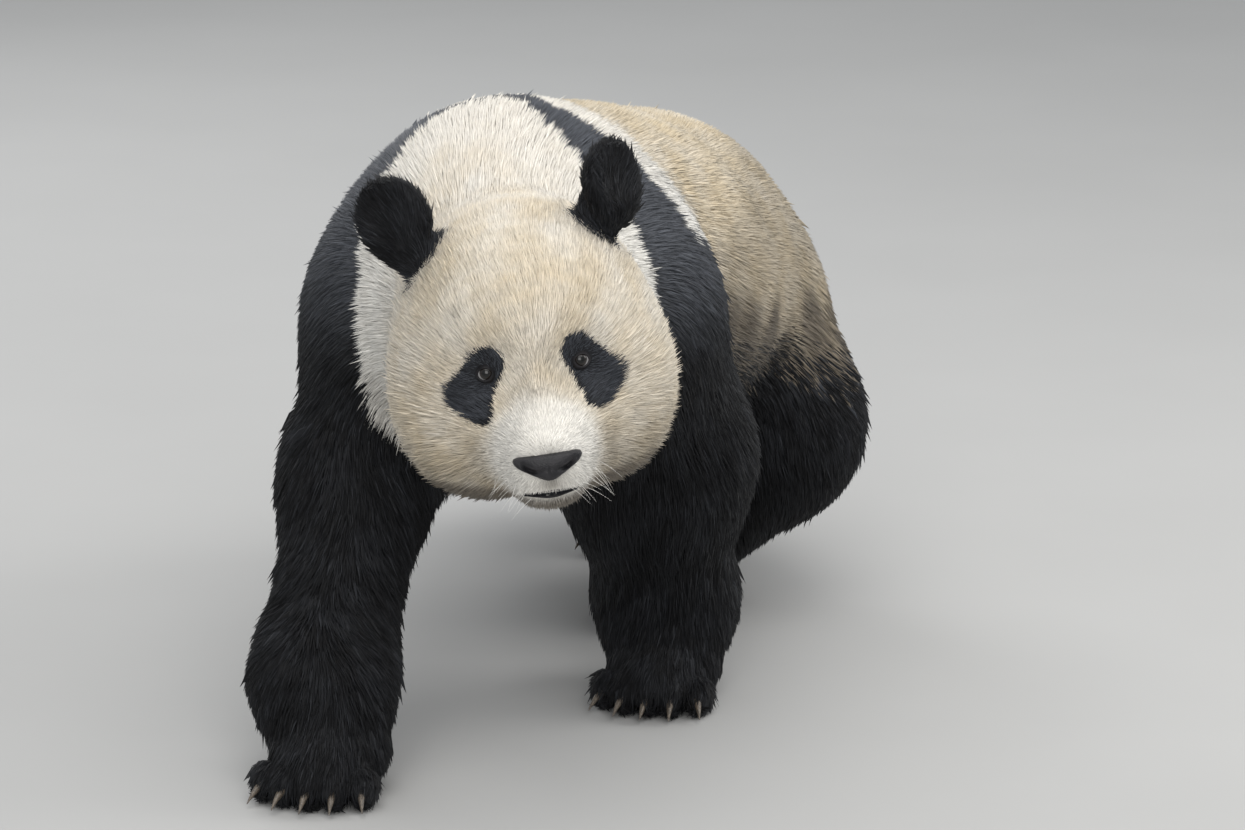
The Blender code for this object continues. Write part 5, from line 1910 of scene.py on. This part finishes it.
@dataclass(frozen=True)
class View:
    """The camera: what it aims at in the body's axes, from which side, how high and how far."""

    aim: Triple = (0.1635, 0.0, 0.3625)
    azimuth: float = 15.0
    elevation: float = 14.5
    distance: float = 6.5
    lens: float = 168.2
    sensor_width: float = 36.0
    clip_end: float = 60.0

    def make(self, shift: np.ndarray) -> None:
        """Creates the scene's camera."""
        turn, rise = math.radians(self.azimuth), math.radians(self.elevation)
        out = Vector((math.sin(turn) * math.cos(rise), -math.cos(turn) * math.cos(rise), math.sin(rise)))
        data = bpy.data.cameras.new("camera")
        data.lens = self.lens
        data.sensor_width = self.sensor_width
        data.clip_end = self.clip_end
        camera = bpy.data.objects.new("camera", data)
        camera.location = Vector(self.aim) + Vector(shift) + out * self.distance
        camera.rotation_euler = (-out).to_track_quat("-Z", "Y").to_euler()
        bpy.context.scene.collection.objects.link(camera)
        bpy.context.scene.camera = camera


WARM_LIGHT = (1.0, 0.985, 0.96)


@dataclass(frozen=True)
class Studio:
    """A plain pale floor, and soft light from wide panels overhead, in front, beside and behind."""

    floor_size: float = 40.0
    # Each lamp's place, size, power and colour.
    lamps = {
        "overhead": ((0.4, -0.9, 3.2), 3.0, 62.0, WARM_LIGHT),
        "front": ((1.1, -4.3, 2.0), 2.6, 80.0, WARM_LIGHT),
        "beside": ((2.9, 1.5, 2.4), 2.0, 52.0, WARM_LIGHT),
        "behind": ((-2.4, 2.6, 2.4), 2.0, 40.0, (1.0, 1.0, 1.0)),
    }
    lit_at: Triple = (0.0, 0.0, 0.35)  # what every lamp faces
    paint: tuple[Colour, Colour] = (rgb(0.42, 0.42, 0.415), rgb(0.46, 0.46, 0.455))
    room: Colour = rgb(0.86, 0.88, 0.90)
    room_strength: float = 0.66

    def floor(self) -> None:
        """Lays the floor."""
        half = self.floor_size / 2.0
        mesh = bpy.data.meshes.new("floor")
        corners = [(-half, -half, 0), (half, -half, 0), (half, half, 0), (-half, half, 0)]
        mesh.from_pydata(corners, [], [(0, 1, 2, 3)])
        nodes = Nodes("floor_paint")
        colour = nodes.mix(nodes.noise(2.0), *self.paint)
        mesh.materials.append(nodes.dress(Base_Color=colour, Roughness=0.8))
        floor = bpy.data.objects.new("floor", mesh)
        bpy.context.scene.collection.objects.link(floor)

    def lamp(self, name: str, at: Triple, size: float, power: float, colour: Triple) -> None:
        """Hangs one square panel of light that faces the animal.

        Args:
            name: the lamp's name.
            at: its place in the row's frame.
            size: the length of its side.
            power: watts.
            colour: its light's colour.
        """
        data = bpy.data.lights.new(name, "AREA")
        data.size = size
        data.energy = power
        data.color = colour
        lamp = bpy.data.objects.new(name, data)
        lamp.location = at
        lamp.rotation_euler = (Vector(self.lit_at) - Vector(at)).to_track_quat("-Z", "Y").to_euler()
        bpy.context.scene.collection.objects.link(lamp)

    def make(self) -> None:
        """Sets the floor, the lamps and the room's own light."""
        self.floor()
        for name, lamp in self.lamps.items():
            self.lamp(name, *lamp)
        world = bpy.data.worlds.new("room")
        world.use_nodes = True
        room = world.node_tree.nodes["Background"].inputs
        room["Color"].default_value = self.room
        room["Strength"].default_value = self.room_strength
        bpy.context.scene.world = world
        bpy.context.scene.view_settings.view_transform = "Standard"


FLESH = (
    ["head", "neck", "shoulders", "trunk", "tail", "ear_left", "ear_right"]
    + [f"{limb}_{side}" for limb in ("foreleg", "hindleg") for side in ("left", "right")]
    + [f"{paw}_{side}" for paw in ("forepaw", "hindpaw") for side in ("left", "right")]
)


def frame_shift() -> np.ndarray:
    """How far the row's frame lies from the body's: the left eye's middle in one less that in the other."""
    low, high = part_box("eye_left")
    shift = (np.array(low) + np.array(high)) / 2.0 - HEAD.place(FACE.eye)
    shift[2] = 0.0
    return shift


def main() -> None:
    """Builds the camera and the light, then the animal from the skin out."""
    logging.basicConfig(level=logging.INFO, format="%(name)s %(message)s")
    shift = frame_shift()
    log.info("shift %s", np.round(shift, 5))
    View().make(shift)
    Studio().make()
    stage = Stage(tuple(shift))
    finishes = all_finishes()
    animal = Animal()
    hide = Skin(animal)
    skin = hide.make(stage, finishes)
    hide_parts(*FLESH)
    log.info("skin: %d faces", len(skin.data.polygons))
    made = Fur(animal, skin, stage, finishes.hair).make()
    for side in Side:
        made += Eye(side).make(stage, finishes)
    made.append(Nose().make(stage, finishes))
    made.append(Mouth().make(stage, finishes, hide))
    made.append(Whiskers().make(stage, finishes, hide))
    made += [Claws(part).make(stage, finishes) for part in SIZES.paws()]
    for piece in made:
        log.info("%s: %d faces", piece.name, len(piece.data.polygons))


if __name__ == "__main__":
    main()
